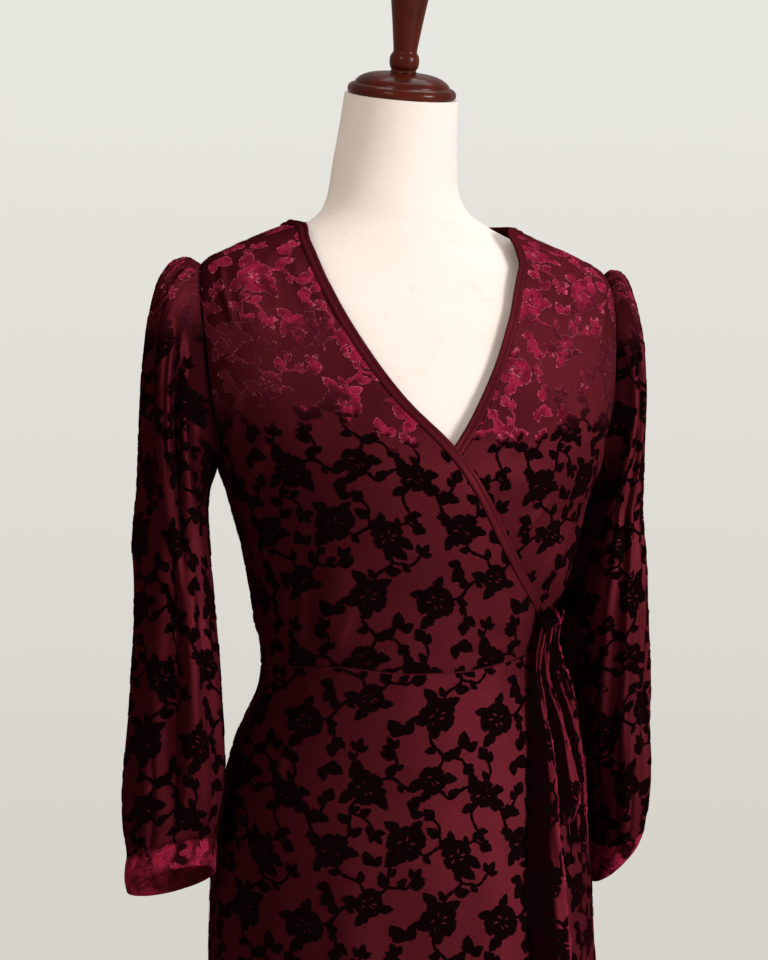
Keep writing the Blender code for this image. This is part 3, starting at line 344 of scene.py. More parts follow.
SLEEVE_CREASES = {
    "right": SLEEVE_BACK_CREASES + listed(SleeveCrease,
        (46, 38, 12.0, -0.0084, 0.02, 0.48), (98, 94, 7.0, 0.0045, 0.14, 0.5),
        (124, 90, 9.0, -0.0086, 0.14, 0.6), (148, 142, 10.0, -0.005, 0.12, 0.56),
        (80, 38, 15.0, -0.01, 0.42, 1.0), (12, -6, 18.0, 0.0082, 0.4, 1.0),
        (112, 52, 9.0, 0.004, 0.46, 0.98), (112, 118, 4.0, 0.0026, 0.56, 0.95),
        (84, 70, 4.5, 0.0022, 0.7, 0.98),
    ),
    "left": SLEEVE_BACK_CREASES + listed(SleeveCrease,
        (42, 36, 4.5, 0.0037, 0.16, 0.86), (60, 66, 4.0, 0.0041, 0.22, 0.8),
        (96, 90, 4.5, 0.0037, 0.18, 0.92), (112, 118, 4.0, 0.0031, 0.36, 0.95),
        (84, 52, 5.0, 0.0027, 0.52, 0.7), (34, 70, 5.0, 0.0024, 0.6, 0.78),
    ),
}
CREASE_EASE = 0.12

# ---- cuffs, ties, knot and bindings
CUFF_COLUMNS = 120
CUFF_ROWS = 16
CUFF_WALL = 0.0016
CUFF_EDGE = 0.0004              # its two edges are drawn in by this, over these shares of its height
CUFF_EDGE_SHARES = (0.10, 0.12)
Dent = namedtuple("Dent", "waves phase rise up")
CUFF_DENTS = (Dent(3, 40, 0.0009, 1.0), Dent(5, 170, 0.0006, 2.0), Dent(8, 20, 0.0004, 1.0))
TIE_WALL = 0.0014
RIBBON_ROWS = 96
RIBBON_COLUMNS = 22
RIBBON_BULGE = 0.35             # rise of the middle, as a share of the half width
RIBBON_FOLD = 0.0003            # lengthwise folds
RIBBON_FOLDS = 2.6
RIBBON_CLEAR = 0.0022           # least distance from the skirt
RIBBON_SQUARENESS = 2.4
RIPPLE_WAVES = 1.6
RIPPLE_SLANT = 2.1
RIPPLE_ACROSS = 3.6
Ripple = namedtuple("Ripple", "rise phase")
RIPPLES = {"tie_tail_long": Ripple(0.0005, 0.4), "tie_loop": Ripple(0.0005, 1.7),
           "tie_tail_short": Ripple(0.0005, 2.9), "tie_side": Ripple(0.0003, 0.0)}
KNOT_ANGLE = 46.0               # where the knot sits on the cloth
KNOT_HEIGHT = 1.054
KNOT_OUT = 0.0115
KNOT_SIZE = (0.0118, 0.0085, 0.0100)
KNOT_LEAN = 32.0
KNOT_WINDING = 0.17             # rises as shares of its size
KNOT_PLEATS = 0.08
KNOT_WINDS = 3
KNOT_TWIST = 3.4
KNOT_START = 0.5
KNOT_PLEAT_COUNT = 8
KNOT_PLEAT_TWIST = 2.2
KNOT_BAND = 0.14                # the strand that crosses the knot: its rise, place, tilt and width
KNOT_BAND_AT = 0.1
KNOT_BAND_TILT = 0.35
KNOT_BAND_TURN = 0.6
KNOT_BAND_WIDTH = 0.26
KNOT_CORE = 0.90
KNOT_POLE = 0.04
KNOT_ROWS = 48
KNOT_COLUMNS = 72
ROLL_RADIUS = 0.0009            # the rolled edge of a tie
ROLL_SIDES = 8
ROLL_UNEVEN = 0.35
ROLL_WAVE = 0.9
ROLL_DRIFT = 0.23
ROLL_INSIDE = 0.4
BINDING_COLUMNS = 14            # a binding: its rolls' places and widths are shares of its width
BINDING_LIFT = 0.0004
BACK_NECK_RISE = 0.004
ROLL_OUTER = 0.16
ROLL_INNER = 0.74
ROLL_WIDTH = 0.20
ROLL_SECOND = 0.8
ROLL_RISE = 0.0008
EDGE_KEEP = 0.0007              # the pile stops this far inside a panel's edge
MAP_REACH = 0.60                # flat map of the body: half its width, its steps, turns and heights
MAP_HALF = 200
MAP_ROWS = 260
MAP_PAST = 0.01
MAP_TURN = 175
MAP_TURNS = 701
MAP_UP = (-0.80, 0.62, 500)
GRID_HEIGHTS = 401
MOVED = 1e-9                    # a point that is held back by more than this is outside
WIDEST_RADIUS = 0.225           # no cloth of the body is farther from its middle
PANEL_BELOW = 0.06
PANEL_ABOVE = 0.10
TURNED_SEGMENTS = 128
TURNED_SHARP = 35.0
FORM_SHARP = 50.0
FORM_COLUMNS = 120
FORM_ROWS_PER_SECTION = 5
STITCH_PITCH = 0.0027           # stitches: spacing, length and half thickness
STITCH_LONG = 0.0019
STITCH_RADIUS = 0.00028
STITCH_FACES = ((0, 2, 1), (0, 3, 2), (0, 4, 3), (0, 1, 4), (5, 1, 2), (5, 2, 3), (5, 3, 4), (5, 4, 1))
# Rows of the skirt, closer together near the waist.
SKIRT_STATIONS = np.interp(np.linspace(0, 9, SKIRT_ROWS + 1), np.arange(10),
                           (0.0, 0.05, 0.11, 0.18, 0.27, 0.38, 0.52, 0.68, 0.84, 1.0))

# Turned profiles: radius and height down the outside, from each part's own foot.
CAP_PROFILE = (
    (0.0, 0.0212), (0.012, 0.0212), (0.019, 0.0209), (0.025, 0.0202), (0.031, 0.0189), (0.036, 0.017),
    (0.0398, 0.0147), (0.042, 0.0126), (0.043, 0.0111), (0.0432, 0.0101), (0.0444, 0.0096),
    (0.0466, 0.0088), (0.0484, 0.0074), (0.0494, 0.0056), (0.0497, 0.0036), (0.0494, 0.0016),
    (0.0488, 0.0004), (0.0478, 0.0), (0.0, 0.0),
)
FINIAL_PROFILE = (
    (0.0, 0.132), (0.005, 0.1314), (0.0095, 0.1296), (0.0135, 0.1258), (0.0165, 0.1206),
    (0.0186, 0.114), (0.0197, 0.107), (0.02, 0.098), (0.0196, 0.089), (0.0186, 0.078), (0.0172, 0.067),
    (0.0156, 0.056), (0.014, 0.045), (0.0126, 0.034), (0.0115, 0.0255), (0.0109, 0.0205),
    (0.0108, 0.0188), (0.011, 0.0176), (0.0118, 0.0166), (0.0128, 0.015), (0.0134, 0.0128),
    (0.0136, 0.01), (0.0134, 0.007), (0.0129, 0.0048), (0.0121, 0.0032), (0.0114, 0.0026),
    (0.0113, 0.0016), (0.0118, 0.0008), (0.012, 0.0), (0.0, 0.0),
)
BASE_PROFILE = (
    (0.0, 0.034), (0.027, 0.034), (0.03, 0.0332), (0.034, 0.0308), (0.04, 0.0297), (0.05, 0.029),
    (0.1, 0.0267), (0.148, 0.0242), (0.154, 0.0232), (0.158, 0.022), (0.166, 0.0218), (0.178, 0.0206),
    (0.185, 0.017), (0.1888, 0.0125), (0.19, 0.008), (0.1896, 0.003), (0.188, 0.0), (0.0, 0.0),
)
COLLAR_PROFILE = (
    (0.0, 0.0), (0.051, 0.0), (0.052, -0.001), (0.052, -0.007), (0.05, -0.009), (0.04, -0.012),
    (0.032, -0.015), (0.026, -0.019), (0.0232, -0.024), (0.0222, -0.03), (0.0228, -0.033),
    (0.0228, -0.038), (0.022, -0.04), (0.0, -0.04),
)
POLE_PROFILE = (
    (0.0, 0.6251), (0.015, 0.6251), (0.016, 0.6241), (0.016, 0.001), (0.015, 0.0), (0.0, 0.0),
)
PART_GAP = 0.0003
SLEEVE_SEAM = 42                # solid column where the sleeve's seam runs, at the inner side
SEEN_STEPS = 300
NECK_STEPS = 200
HIDDEN_DEGREES = 9.0            # how far the motif of a lower layer goes on under the upper one
BINDING_STITCHES = 0.46         # share of the binding's width
WAIST_STITCH = 0.0022
SEAM_STEPS = 900
HEM_DEPTH = 0.012
CUFF_STITCH_ROWS = (1, 15)
SHIFTS = {                      # where the motif's repeat starts on each piece, in metres
    "bodice_front_right": (0.02, 0.03), "bodice_front_left": (0.09, 0.07), "bodice_back": (0.05, 0.03),
    "skirt_front_right": (0.06, 0.10), "skirt_front_left": (0.12, 0.05), "skirt_back": (0.02, 0.12),
    "sleeve_right": (0.04, 0.06), "sleeve_left": (0.10, 0.02),
    "cuff_right": (0.03, 0.05), "cuff_left": (0.11, 0.09),
    "tie_tail_long": (0.02, 0.04), "tie_loop": (0.06, 0.10), "tie_tail_short": (0.10, 0.02),
    "tie_side": (0.13, 0.12),
}

Cut = namedtuple("Cut", "name width length area held rests_on")
CUTS = listed(Cut,  # what shows of each piece, laid flat before it was gathered or hung
    ("bodice_front_right", 0.34, 0.42, 0.0806, "draped", "form_torso"),
    ("bodice_front_left", 0.3, 0.4, 0.0822, "draped", "form_torso"),
    ("bodice_back", 0.52, 0.45, 0.1699, "draped", "form_torso"),
    ("skirt_front_right", 0.46, 0.77, 0.2652, "hung", "bodice_front_right_fine"),
    ("skirt_front_left", 0.54, 0.77, 0.3424, "hung", "bodice_front_left_fine"),
    ("skirt_back", 0.66, 0.77, 0.4152, "hung", "bodice_back_fine"),
    ("sleeve_right", 0.38, 0.55, 0.1341, "gathered", "bodice_front_right_fine"),
    ("sleeve_left", 0.36, 0.55, 0.1224, "gathered", "bodice_front_left_fine"),
    ("cuff_right", 0.031, 0.222, 0.0067, "folded", "sleeve_right_fine"),
    ("cuff_left", 0.028, 0.19, 0.005, "folded", "sleeve_left_fine"),
    ("binding_right_front", 0.01, 0.535, 0.0048, "folded", "bodice_front_right_fine"),
    ("binding_left_front", 0.01, 0.545, 0.0049, "folded", "bodice_front_left_fine"),
    ("binding_back_neck", 0.01, 0.29, 0.0026, "folded", "bodice_back_fine"),
    ("tie_tail_long", 0.046, 0.38, 0.0125, "hung", "skirt_front_right_fine"),
    ("tie_loop", 0.034, 0.19, 0.0044, "hung", "skirt_front_right_fine"),
    ("tie_tail_short", 0.028, 0.215, 0.0048, "hung", "skirt_front_left_fine"),
    ("tie_side", 0.028, 0.06, 0.0011, "laid", "bodice_front_left_fine"),
)

# ---- stage
FLOOR_RADIUS = 3.6
DOME_RADIUS = 14.0              # backdrop: its radius, and the heights between which it lightens
DOME_LOW = -0.9
DOME_HIGH = 3.6
WALL_LOW = (0.680, 0.655, 0.600)
WALL_HIGH = (0.800, 0.790, 0.740)
AMBIENT = (1.0, 0.95, 0.89)
AMBIENT_STRENGTH = 0.34
STAGE_SEGMENTS = 96
DOME_RINGS = 41
DOME_POLE = 89                  # degrees up and down that the dome reaches
Lamp = namedtuple("Lamp", "name place target size power colour")
LAMPS = listed(Lamp,
    ("key", (2.1, -2.7, 1.9), (0.0, 0.0, 1.2), 1.2, 96.0, (1.0, 0.985, 0.965)),
    ("fill", (-2.4, -2.4, 2.6), (0.0, 0.0, 1.45), 1.2, 36.0, (1.0, 0.79, 0.64)),
    ("top", (0.5, 0.3, 3.6), (0.0, 0.0, 1.3), 1.6, 24.0, (1.0, 0.99, 0.97)),
)
PAINTED_LIGHT_SIDE = (0.934, -0.358, 0.0)  # the key light's side: the ground's colour is painted darker, as painted shade, where it faces the other way
PAINTED_LIGHT_HEIGHT = 1.215               # height above which the pile is painted brighter, as painted light from above
PAINTED_LIGHT_GAIN = 0.30
PAINTED_LIGHT_BLEND = 0.05
PILE_BRIGHT = (0.37, 0.0162, 0.058)     # pile painted as lit, and painted as unlit high and low
PILE_DARK = (0.062, 0.0066, 0.0130)
PILE_BLACK = (0.0042, 0.0012, 0.0014)
GROUND_SHINE = 0.42             # the ground's silky gloss, given only where it faces the key light's side
SLEEVE_PAINTED_LIGHT_HEIGHT = 1.29
PAINTED_SHADE_HEIGHTS = (1.12, 1.30)           # heights between which the right sleeve's colour is painted darker, as painted shade of the body
TIE_SIDE = (0.98, 0.19, 0.05)   # the pile of the ties and the knot is painted bright where it faces this way, the light's side

HALF_IMAGE = 480                # half of the picture's height, in pixels
FOCAL_PIXELS = 2750
VIEW_DEGREES = 21.0             # the camera stands this far to the wearer's right of the front
CAMERA_DISTANCE = 2.5
CAMERA_HEIGHT = 1.175
CAMERA_SHIFT = 19 / 1100
CAMERA_FAR = 100

# ---- curves and the cloth's surface
def smooth(xs, ys, x):
    """Smooth curve through the points (xs, ys) that never swings past a point."""
    xs = np.asarray(xs, float)
    ys = np.asarray(ys, float)
    x = np.clip(np.asarray(x, float), xs[0], xs[-1])
    steps = np.diff(xs)
    slopes = np.diff(ys) / steps
    product = slopes[:-1] * slopes[1:]
    total = slopes[:-1] + slopes[1:]
    inner = np.where(product > 0, 2 * product / np.where(total == 0, 1, total), 0.0)
    tangents = np.concatenate(([slopes[0]], inner, [slopes[-1]]))
    i = np.clip(np.searchsorted(xs, x) - 1, 0, len(steps) - 1)
    t = (x - xs[i]) / steps[i]
    return (ys[i] * (1 + 2 * t) * (1 - t) ** 2 + ys[i + 1] * t * t * (3 - 2 * t)
            + steps[i] * (tangents[i] * t * (1 - t) ** 2 - tangents[i + 1] * t * t * (1 - t)))


def column(table, name, x):
    """Value of one column of a table at x, which runs along the table's first column."""
    rows = sorted(table)
    return smooth([row[0] for row in rows], [getattr(row, name) for row in rows], x)


def between(rows, places):
    """Smooth values of all columns of a table, at places counted in rows."""
    index = np.arange(len(rows))
    return type(rows[0])(*(smooth(index, values, places) for values in zip(*rows)))


def ease(value, start, end):
    """Smooth rise from 0 at start to 1 at end; end may be the smaller of the two."""
    t = np.clip((np.asarray(value) - start) / (end - start), 0, 1)
    return t * t * (3 - 2 * t)


def bell(value):
    """Smooth hump of height 1 at 0."""
    return np.exp(-value ** 2)


def turned_by(angle, other):
    """Signed angle from other to angle, between -180 and 180."""
    return (np.asarray(angle) - other + 180) % 360 - 180


def joined(*parts):
    """Arrays side by side on a new last axis."""
    return np.stack(np.broadcast_arrays(*parts), axis=-1)


def unit(vectors):
    """The vectors at length 1."""
    return vectors / np.linalg.norm(vectors, axis=-1, keepdims=True)


def run_of(line):
    """Length along a line of points, from its start."""
    return np.concatenate([[0], np.cumsum(np.linalg.norm(np.diff(line, axis=0), axis=1))])


def ring(table, angle, height):
    """Points at these angles (degrees) and heights on the closed body that the table describes."""
    turn = np.radians(angle)
    ahead = np.cos(turn)
    depth = np.where(ahead > 0, column(table, "front", height), column(table, "back", height))
    x = column(table, "half_width", height) * np.sin(turn)
    return joined(x, column(table, "centre_y", height) - depth * ahead, height)


def waist_height(angle):
    """Height of the waist seam at these angles."""
    return column(WAIST, "height", turned_by(angle, 0))


def folds(angle, height):
    """How far folds, creases and seams lift the cloth at this angle and height."""
    lift = np.zeros(np.shape(angle))
    for f in FLUTES + SKIRT_RIPPLES:
        lift = lift + f.rise * ease(height, f.start, HEM) * bell(turned_by(angle, f.angle) / f.width)
    for c in CREASES:
        across = np.radians(turned_by(angle, c.angle)) * CREASE_RADIUS
        along_x = math.radians(c.end_angle - c.angle) * CREASE_RADIUS
        along_z = c.end_height - c.height
        length = math.hypot(along_x, along_z)
        t = (across * along_x + (height - c.height) * along_z) / length ** 2
        off = (across * along_z - (height - c.height) * along_x) / length
        ends = ease(t, 0, CREASE_IN) * ease(t, CREASE_END, CREASE_FULL)
        lift = lift + c.rise * bell(off / c.width) * ends
    lift = lift - WAIST_DIP * bell((height - waist_height(angle)) / WAIST_DIP_WIDTH)
    dip = SIDE_DIP * ease(height, SHOULDER_TIP, SHOULDER_TIP - SIDE_DIP_FADE)
    for side in (90, -90):
        lift = lift - dip * bell(turned_by(angle, side) / SIDE_DIP_WIDTH)
    return lift


def on_cloth(angle, height, out=0.0):
    """Points on the cloth surface at these angles and heights, moved out along its normals."""
    angle, height, out = np.broadcast_arrays(*(np.asarray(v, float) for v in (angle, height, out)))
    around = ring(CLOTH, angle + PROBE_DEGREES, height) - ring(CLOTH, angle - PROBE_DEGREES, height)
    down = ring(CLOTH, angle, height - PROBE) - ring(CLOTH, angle, height + PROBE)
    normal = unit(np.cross(down, around))
    return ring(CLOTH, angle, height) + normal * (out + folds(angle, height))[..., None]


def under_drop(angle, height):
    """How far the lower layer of the wrap lies inside the cloth surface at this angle and height."""
    edge = np.where(height > waist_height(angle),
                    column(UPPER_EDGE, "angle", height), column(SKIRT_EDGE, "angle", height))
    covered = np.radians(edge - angle) * column(CLOTH, "half_width", height)
    return LAYER_STEP * ease(covered, -DROP_START, DROP_RUN - DROP_START)


# ---- outlines of the panels
def along(rows, count):
    """Angles and heights at equal steps along an edge table, neck end or top first."""
    rows = sorted(rows, reverse=True)
    fine = between(rows, np.linspace(0, len(rows) - 1, EDGE_SAMPLES))
    length = run_of(ring(CLOTH, fine.angle, fine.height))
    stations = np.linspace(0, length[-1], count)
    return joined(np.interp(stations, length, fine.angle), np.interp(stations, length, fine.height))


def armhole(turn, inset=0.0):
    """Angle from the side and height on the armhole loop: turn 0 at the shoulder, 180 underarm."""
    turn = np.radians(turn)
    middle = (SHOULDER_TIP + UNDERARM) / 2
    half_height = (SHOULDER_TIP - UNDERARM) / 2 - inset
    half_angle = ARMHOLE_HALF_ANGLE - math.degrees(inset / ARMHOLE_RADIUS)
    return half_angle * np.sin(turn), middle + half_height * np.cos(turn)


def side_edge(side, toward):
    """Armhole and side seam of one panel: side is 90 or -90, toward +1 or -1 the way to the panel."""
    swing, height = armhole(np.linspace(0, 180, ARMHOLE_ROWS + 1))
    swing = np.maximum(swing, SEAM_DEGREES)
    seam = np.linspace(height[-1], waist_height(side), SIDE_ROWS + 1)[1:]
    angle = side + toward * np.concatenate([swing, np.full(SIDE_ROWS, SEAM_DEGREES)])
    return joined(angle, np.concatenate([height, seam]))


def waist_edge(start, end, columns):
    """The waist seam between two angles."""
    angle = np.linspace(start, end, columns + 1)
    return joined(angle, waist_height(angle))


def patch(top, bottom, left, right, stations=None):
    """Grid of angles and heights between four edges that meet at the corners (a Coons patch)."""
    stations = np.linspace(0, 1, len(left)) if stations is None else stations
    t = stations[:, None, None]
    s = np.linspace(0, 1, len(top))[None, :, None]
    straight = (1 - t) * top[None] + t * bottom[None] + (1 - s) * left[:, None] + s * right[:, None]
    corners = (1 - t) * ((1 - s) * top[0] + s * top[-1]) + t * ((1 - s) * bottom[0] + s * bottom[-1])
    return straight - corners


def inset_edge(edge, distance, toward):
    """The edge moved sideways over the cloth by a distance, or by one for each of its points."""
    place = ring(CLOTH, edge[:, 0], edge[:, 1])
    around = ring(CLOTH, edge[:, 0] + PROBE_DEGREES, edge[:, 1]) - place
    up = ring(CLOTH, edge[:, 0], edge[:, 1] + PROBE) - place
    aside = np.cross(np.gradient(place, axis=0), np.cross(around, up))
    distance = np.broadcast_to(distance, len(edge))
    aside *= (toward * distance / np.linalg.norm(aside, axis=1))[:, None]
    moved = edge.copy()
    for i in range(len(edge)):
        basis = joined(around[i] / PROBE_DEGREES, up[i] / PROBE)
        moved[i] += np.linalg.lstsq(basis, aside[i], rcond=None)[0]
    return moved


def front_bodice(edge_rows, side):
    """Angles and heights of one front of the bodice; side -90 or 90 is the wearer's right or left."""
    toward = -math.copysign(1, side)
    outer = side_edge(side, toward)
    inner = inset_edge(along(edge_rows, EDGE_POINTS), BINDING + SEAM_GAP, toward)
    inner[:, 0] = np.clip(inner[:, 0], *FRONT)
    inner[0, 0] = side + toward * SEAM_DEGREES
    bottom = waist_edge(inner[-1, 0], inner[0, 0], FRONT_COLUMNS)
    inner[-1] = bottom[0]
    outer[-1] = bottom[-1]
    for edge in (inner, outer):
        edge[0, 0] -= toward * SHOULDER_LAP
    return patch(np.linspace(inner[0], outer[0], FRONT_COLUMNS + 1), bottom, inner, outer)


def back_neck_edge(count):
    """Neckline of the back, from the wearer's left neck point to the right one."""
    angle = np.linspace(*BACK, count)
    return joined(angle, NECK_POINT + BACK_NECK_RISE * np.sin(np.radians(angle - 90)))


def back_bodice():
    """Angles and heights of the back, from the wearer's left side seam to the right one."""
    left = side_edge(90, 1)
    right = side_edge(-90, -1)
    right[:, 0] += 360
    neck = inset_edge(back_neck_edge(BACK_NECK_COLUMNS + 1), BINDING + SEAM_GAP, 1)
    neck[:, 0] = np.clip(neck[:, 0], left[-1, 0], right[-1, 0])
    neck[0, 0] = left[0, 0]
    neck[-1, 0] = right[0, 0]
    shoulder = np.linspace(left[0], neck[0], BACK_SHOULDER_COLUMNS + 1)[:-1]
    other = np.linspace(neck[-1], right[0], BACK_SHOULDER_COLUMNS + 1)[1:]
    top = np.concatenate([shoulder, neck, other])
    return patch(top, waist_edge(left[-1, 0], right[-1, 0], len(top) - 1), left, right)


def skirt_side(angle):
    """A straight side edge of a skirt panel, from the waist seam to the hem."""
    top = waist_height(angle)
    return joined(float(angle), top + (HEM - top) * SKIRT_STATIONS)


def skirt_wrap_edge():
    """The free edge of the upper skirt, from the knot to the hem."""
    height = skirt_side(SKIRT_EDGE[0].angle)[:, 1]
    return joined(column(SKIRT_EDGE, "angle", height), height)


def skirt_panel(left, right, columns):
    """Angles and heights of a skirt panel between two side edges; left has the larger angle."""
    top = waist_edge(left[0, 0], right[0, 0], columns)
    bottom = joined(np.linspace(left[-1, 0], right[-1, 0], columns + 1), HEM)
    left[0] = top[0]
    right[0] = top[-1]
    return patch(top, bottom, left, right, SKIRT_STATIONS)


# ---- making objects
def place_in_scene(name, data):
    """A new object in the scene."""
    item = bpy.data.objects.new(name, data)
    bpy.context.scene.collection.objects.link(item)
    return item


def add(name, mesh, finish, solid=None):
    """A piece of the part: it rides on the one body, takes its finish and may replace a solid."""
    item = place_in_scene(name, mesh)
    mesh.materials.append(finish)
    mesh.shade_smooth()
    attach(item, "root")
    if solid:
        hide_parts(solid)
    return item


def face_mesh(name, points, faces):
    """Mesh from arrays of points and of faces that all have the same number of corners."""
    points = np.asarray(points, float).reshape(-1, 3)
    faces = np.asarray(faces, int)
    mesh = bpy.data.meshes.new(name)
    mesh.vertices.add(len(points))
    mesh.vertices.foreach_set("co", points.ravel())
    mesh.loops.add(faces.size)
    mesh.loops.foreach_set("vertex_index", faces.ravel())
    mesh.polygons.add(len(faces))
    mesh.polygons.foreach_set("loop_start", np.arange(0, faces.size, faces.shape[1]))
    mesh.update(calc_edges=True)
    return mesh


def grid_faces(rows, columns, closed=False):
    """Quads through a grid of points, wound so that they face the same way as the solids' do."""
    r, c = np.meshgrid(np.arange(rows - 1), np.arange(columns if closed else columns - 1), indexing="ij")
    after = (c + 1) % columns
    quads = joined(r * columns + c, (r + 1) * columns + c, (r + 1) * columns + after, r * columns + after)
    return quads.reshape(-1, 4)


def closed_mesh(name, rings, ends):
    """Mesh of rings from the top down, closed by fans to the two points in ends."""
    rows, columns = rings.shape[:2]
    last = (rows - 1) * columns
    top = rows * columns
    faces = grid_faces(rows, columns, True).tolist()
    for i in range(columns):
        j = (i + 1) % columns
        faces += [(top, i, j), (top + 1, last + j, last + i)]
    mesh = bpy.data.meshes.new(name)
    mesh.from_pydata([*rings.reshape(-1, 3).tolist(), *ends], [], faces)
    return mesh


def cloth(solid, points, finish, wall=WALL, closed=False):
    """A piece of cloth: the fine grid of its middle surface, with a wall from Solidify."""
    mesh = face_mesh(solid + "_fine", points, grid_faces(*points.shape[:2], closed))
    item = add(solid + "_fine", mesh, finish, solid)
    shell = item.modifiers.new("wall", "SOLIDIFY")
    shell.thickness = wall
    shell.offset = 0.0
    return item


def turned(solid, profile, finish, location=(0, 0, 0), lean=0.0):
    """A turned piece: profile rows are (radius, height) from axis to axis, down the outside."""
    profile = np.array(profile)
    turn = np.linspace(0, 2 * math.pi, TURNED_SEGMENTS, endpoint=False)
    radius, height = profile[1:-1, :1], profile[1:-1, 1:]
    rings = joined(radius * np.sin(turn), -radius * np.cos(turn), height)
    mesh = closed_mesh(solid + "_fine", rings, [(0, 0, profile[0, 1]), (0, 0, profile[-1, 1])])
    mesh.transform(Matrix.Translation(location) @ Matrix.Rotation(lean, 4, "X"))
    add(solid + "_fine", mesh, finish, solid)
    mesh.set_sharp_from_angle(angle=math.radians(TURNED_SHARP))


def binding(name, edge, toward, limits, drop, finish):
    """A folded band along a neck edge: two soft rolls with the stitched groove between them."""
    shares = np.linspace(0, 1, BINDING_COLUMNS + 1)
    grid = np.stack([inset_edge(edge, BINDING * share, toward) for share in shares], axis=1)
    angle = np.clip(grid[..., 0], *limits)
    for row, limit in ((0, limits[0]), (-1, limits[1])):
        if abs(edge[row, 0] - limit) < ON_SEAM:
            angle[row] = limit
    height = np.maximum(grid[..., 1], waist_height(angle))
    rolls = bell((shares - ROLL_OUTER) / ROLL_WIDTH) + ROLL_SECOND * bell((shares - ROLL_INNER) / ROLL_WIDTH)
    out = BINDING_LIFT + ROLL_RISE * rolls - (under_drop(angle, height) if drop else 0.0)
    cloth(name, on_cloth(angle, height, out), finish, BINDING_WALL)


# ---- sleeves and cuffs
def hanging_ring(rows, side, turn, height):
    """Ring of a hanging sleeve: turn 0 is away from the body, 90 the front, 180 towards it."""
    c = Hang(height, *(column(rows, name, height) for name in Hang._fields[1:]))
    turn = np.radians(turn)
    twist = np.radians(c.twist)
    wide = c.half_wide * np.cos(turn)
    deep = c.half_deep * np.sin(turn)
    out = wide * np.cos(twist) + deep * np.sin(twist)
    ahead = deep * np.cos(twist) - wide * np.sin(twist)
    tilt = c.slope_out * out + c.slope_front * ahead
    return joined(side * (c.centre_out + out), c.centre_y - ahead, height + tilt)


def sleeve_turns(even, place):
    """Turn of each column, given by its place among the gathers: packed on the head, even where 1."""
    head = HEAD_PLEATS * PLEAT_COLUMNS
    packed = np.interp(place, [0, head, SLEEVE_COLUMNS],
                       [-HEAD_HALF_TURN, HEAD_HALF_TURN, 360 - HEAD_HALF_TURN])
    spread = 360 * place / SLEEVE_COLUMNS - HEAD_HALF_TURN
    return packed * (1 - even) + spread * even


def sleeve_tube(side, puff, rows, place):
    """Plain sleeve: a cap that springs from the armhole, then a full tube. Also each row's run."""
    grid = []
    runs = []
    for t in np.linspace(0, 1, CAP_ROWS + 1):
        turn = sleeve_turns(EVEN_BY_ELBOW * t, place)
        swing, height = armhole(turn, ARMHOLE_INSET)
        start = ring(CLOTH, side * (90 - swing), height)
        end = hanging_ring(rows, side, turn, rows[0].height)
        high = (1 + np.cos(np.radians(turn))) / 2
        away = joined(side * (LOW_PULL_OUT + (puff - LOW_PULL_OUT) * high),
                      -FRONT_PUFF * np.sin(np.radians(turn)),
                      LOW_PULL_UP + (HEAD_PUFF_UP - LOW_PULL_UP) * high)
        fall = np.linalg.norm(end - start, axis=-1, keepdims=True) * [0, 0, -1.0]
        grid.append(start * (1 + 2 * t) * (1 - t) ** 2 + end * t * t * (3 - 2 * t)
                    + away * t * (1 - t) ** 2 - fall * t * t * (1 - t))
        runs.append(CAP_RUN * np.interp(t, CAP_STATIONS, CAP_SHARES))
    for below in np.linspace(0, 1, HANG_ROWS + 1)[1:]:
        height = rows[0].height + (rows[-1].height - rows[0].height) * below
        turn = sleeve_turns(EVEN_BY_ELBOW + (1 - EVEN_BY_ELBOW) * below, place)
        grid.append(hanging_ring(rows, side, turn, height))
        runs.append(CAP_RUN + (1 - CAP_RUN) * below)
    return np.array(grid), np.array(runs)[:, None]


def gathers(wave, sharpness):
    """Rounded ridges with sharp valleys between them, from -1 to 1."""
    return np.abs(np.cos(wave)) ** sharpness * 2 - 1


def sleeve_grid(side, puff, rows, creases):
    """Points of a sleeve's middle surface, with its gathers, tucks, folds and creases."""
    place = np.arange(0, SLEEVE_COLUMNS, 1 / SLEEVE_FINENESS)
    grid, run = sleeve_tube(side, puff, rows, place)
    around = np.roll(grid, -1, axis=1) - np.roll(grid, 1, axis=1)
    normal = unit(np.cross(around, np.gradient(grid, axis=0)) * side)
    turn = sleeve_turns(EVEN_BY_ELBOW, place)[None, :]
    top = np.cos(np.radians(turn))
    number = np.round(place / PLEAT_COLUMNS).astype(int) % len(PLEAT_DEPTHS)
    depth, reach = np.array(PLEAT_DEPTHS)[number].T[:, None]
    head = ease(top, 0, HEAD_FULL) * ease(run, 0, HEAD_IN) * ease(run, reach, HEAD_OUT)
    gather = ease(run, *GATHER_IN) * (1 - GATHER_FLAT * ease(run, GATHER_IN[1], 1))
    pleat = gathers(np.pi * place / PLEAT_COLUMNS, PLEAT_SHARPNESS)[None, :]
    lift = pleat * depth * (HEAD_PLEAT_RISE * head + GATHER_RISE * gather)
    sway = TUCK_SWAY * np.sin(np.radians(TUCK_SWAY_WAVES * turn))
    tuck = gathers(np.radians((TUCK_WAVES * turn + sway) / 2), TUCK_SHARPNESS)
    sewn = ease(top, 0, TUCK_FULL) * ease(run, 0, TUCK_IN) * ease(run, *TUCK_REACH)
    lift = lift + TUCK_RISE * tuck * sewn
    for f in SLEEVE_FOLDS:
        ends = ease(run, 0, FOLD_IN) * ease(run, *FOLD_OUT)
        lift = lift + f.rise * ends * bell(turned_by(turn, f.turn) / f.width)
    for f in creases:
        middle = f.turn + (f.end_turn - f.turn) * (run - f.start) / (f.end - f.start)
        ends = ease(run, f.start, f.start + CREASE_EASE) * ease(run, f.end, f.end - CREASE_EASE)
        lift = lift + f.rise * ends * bell(turned_by(turn, middle) / f.width)
    return grid + normal * lift[..., None]


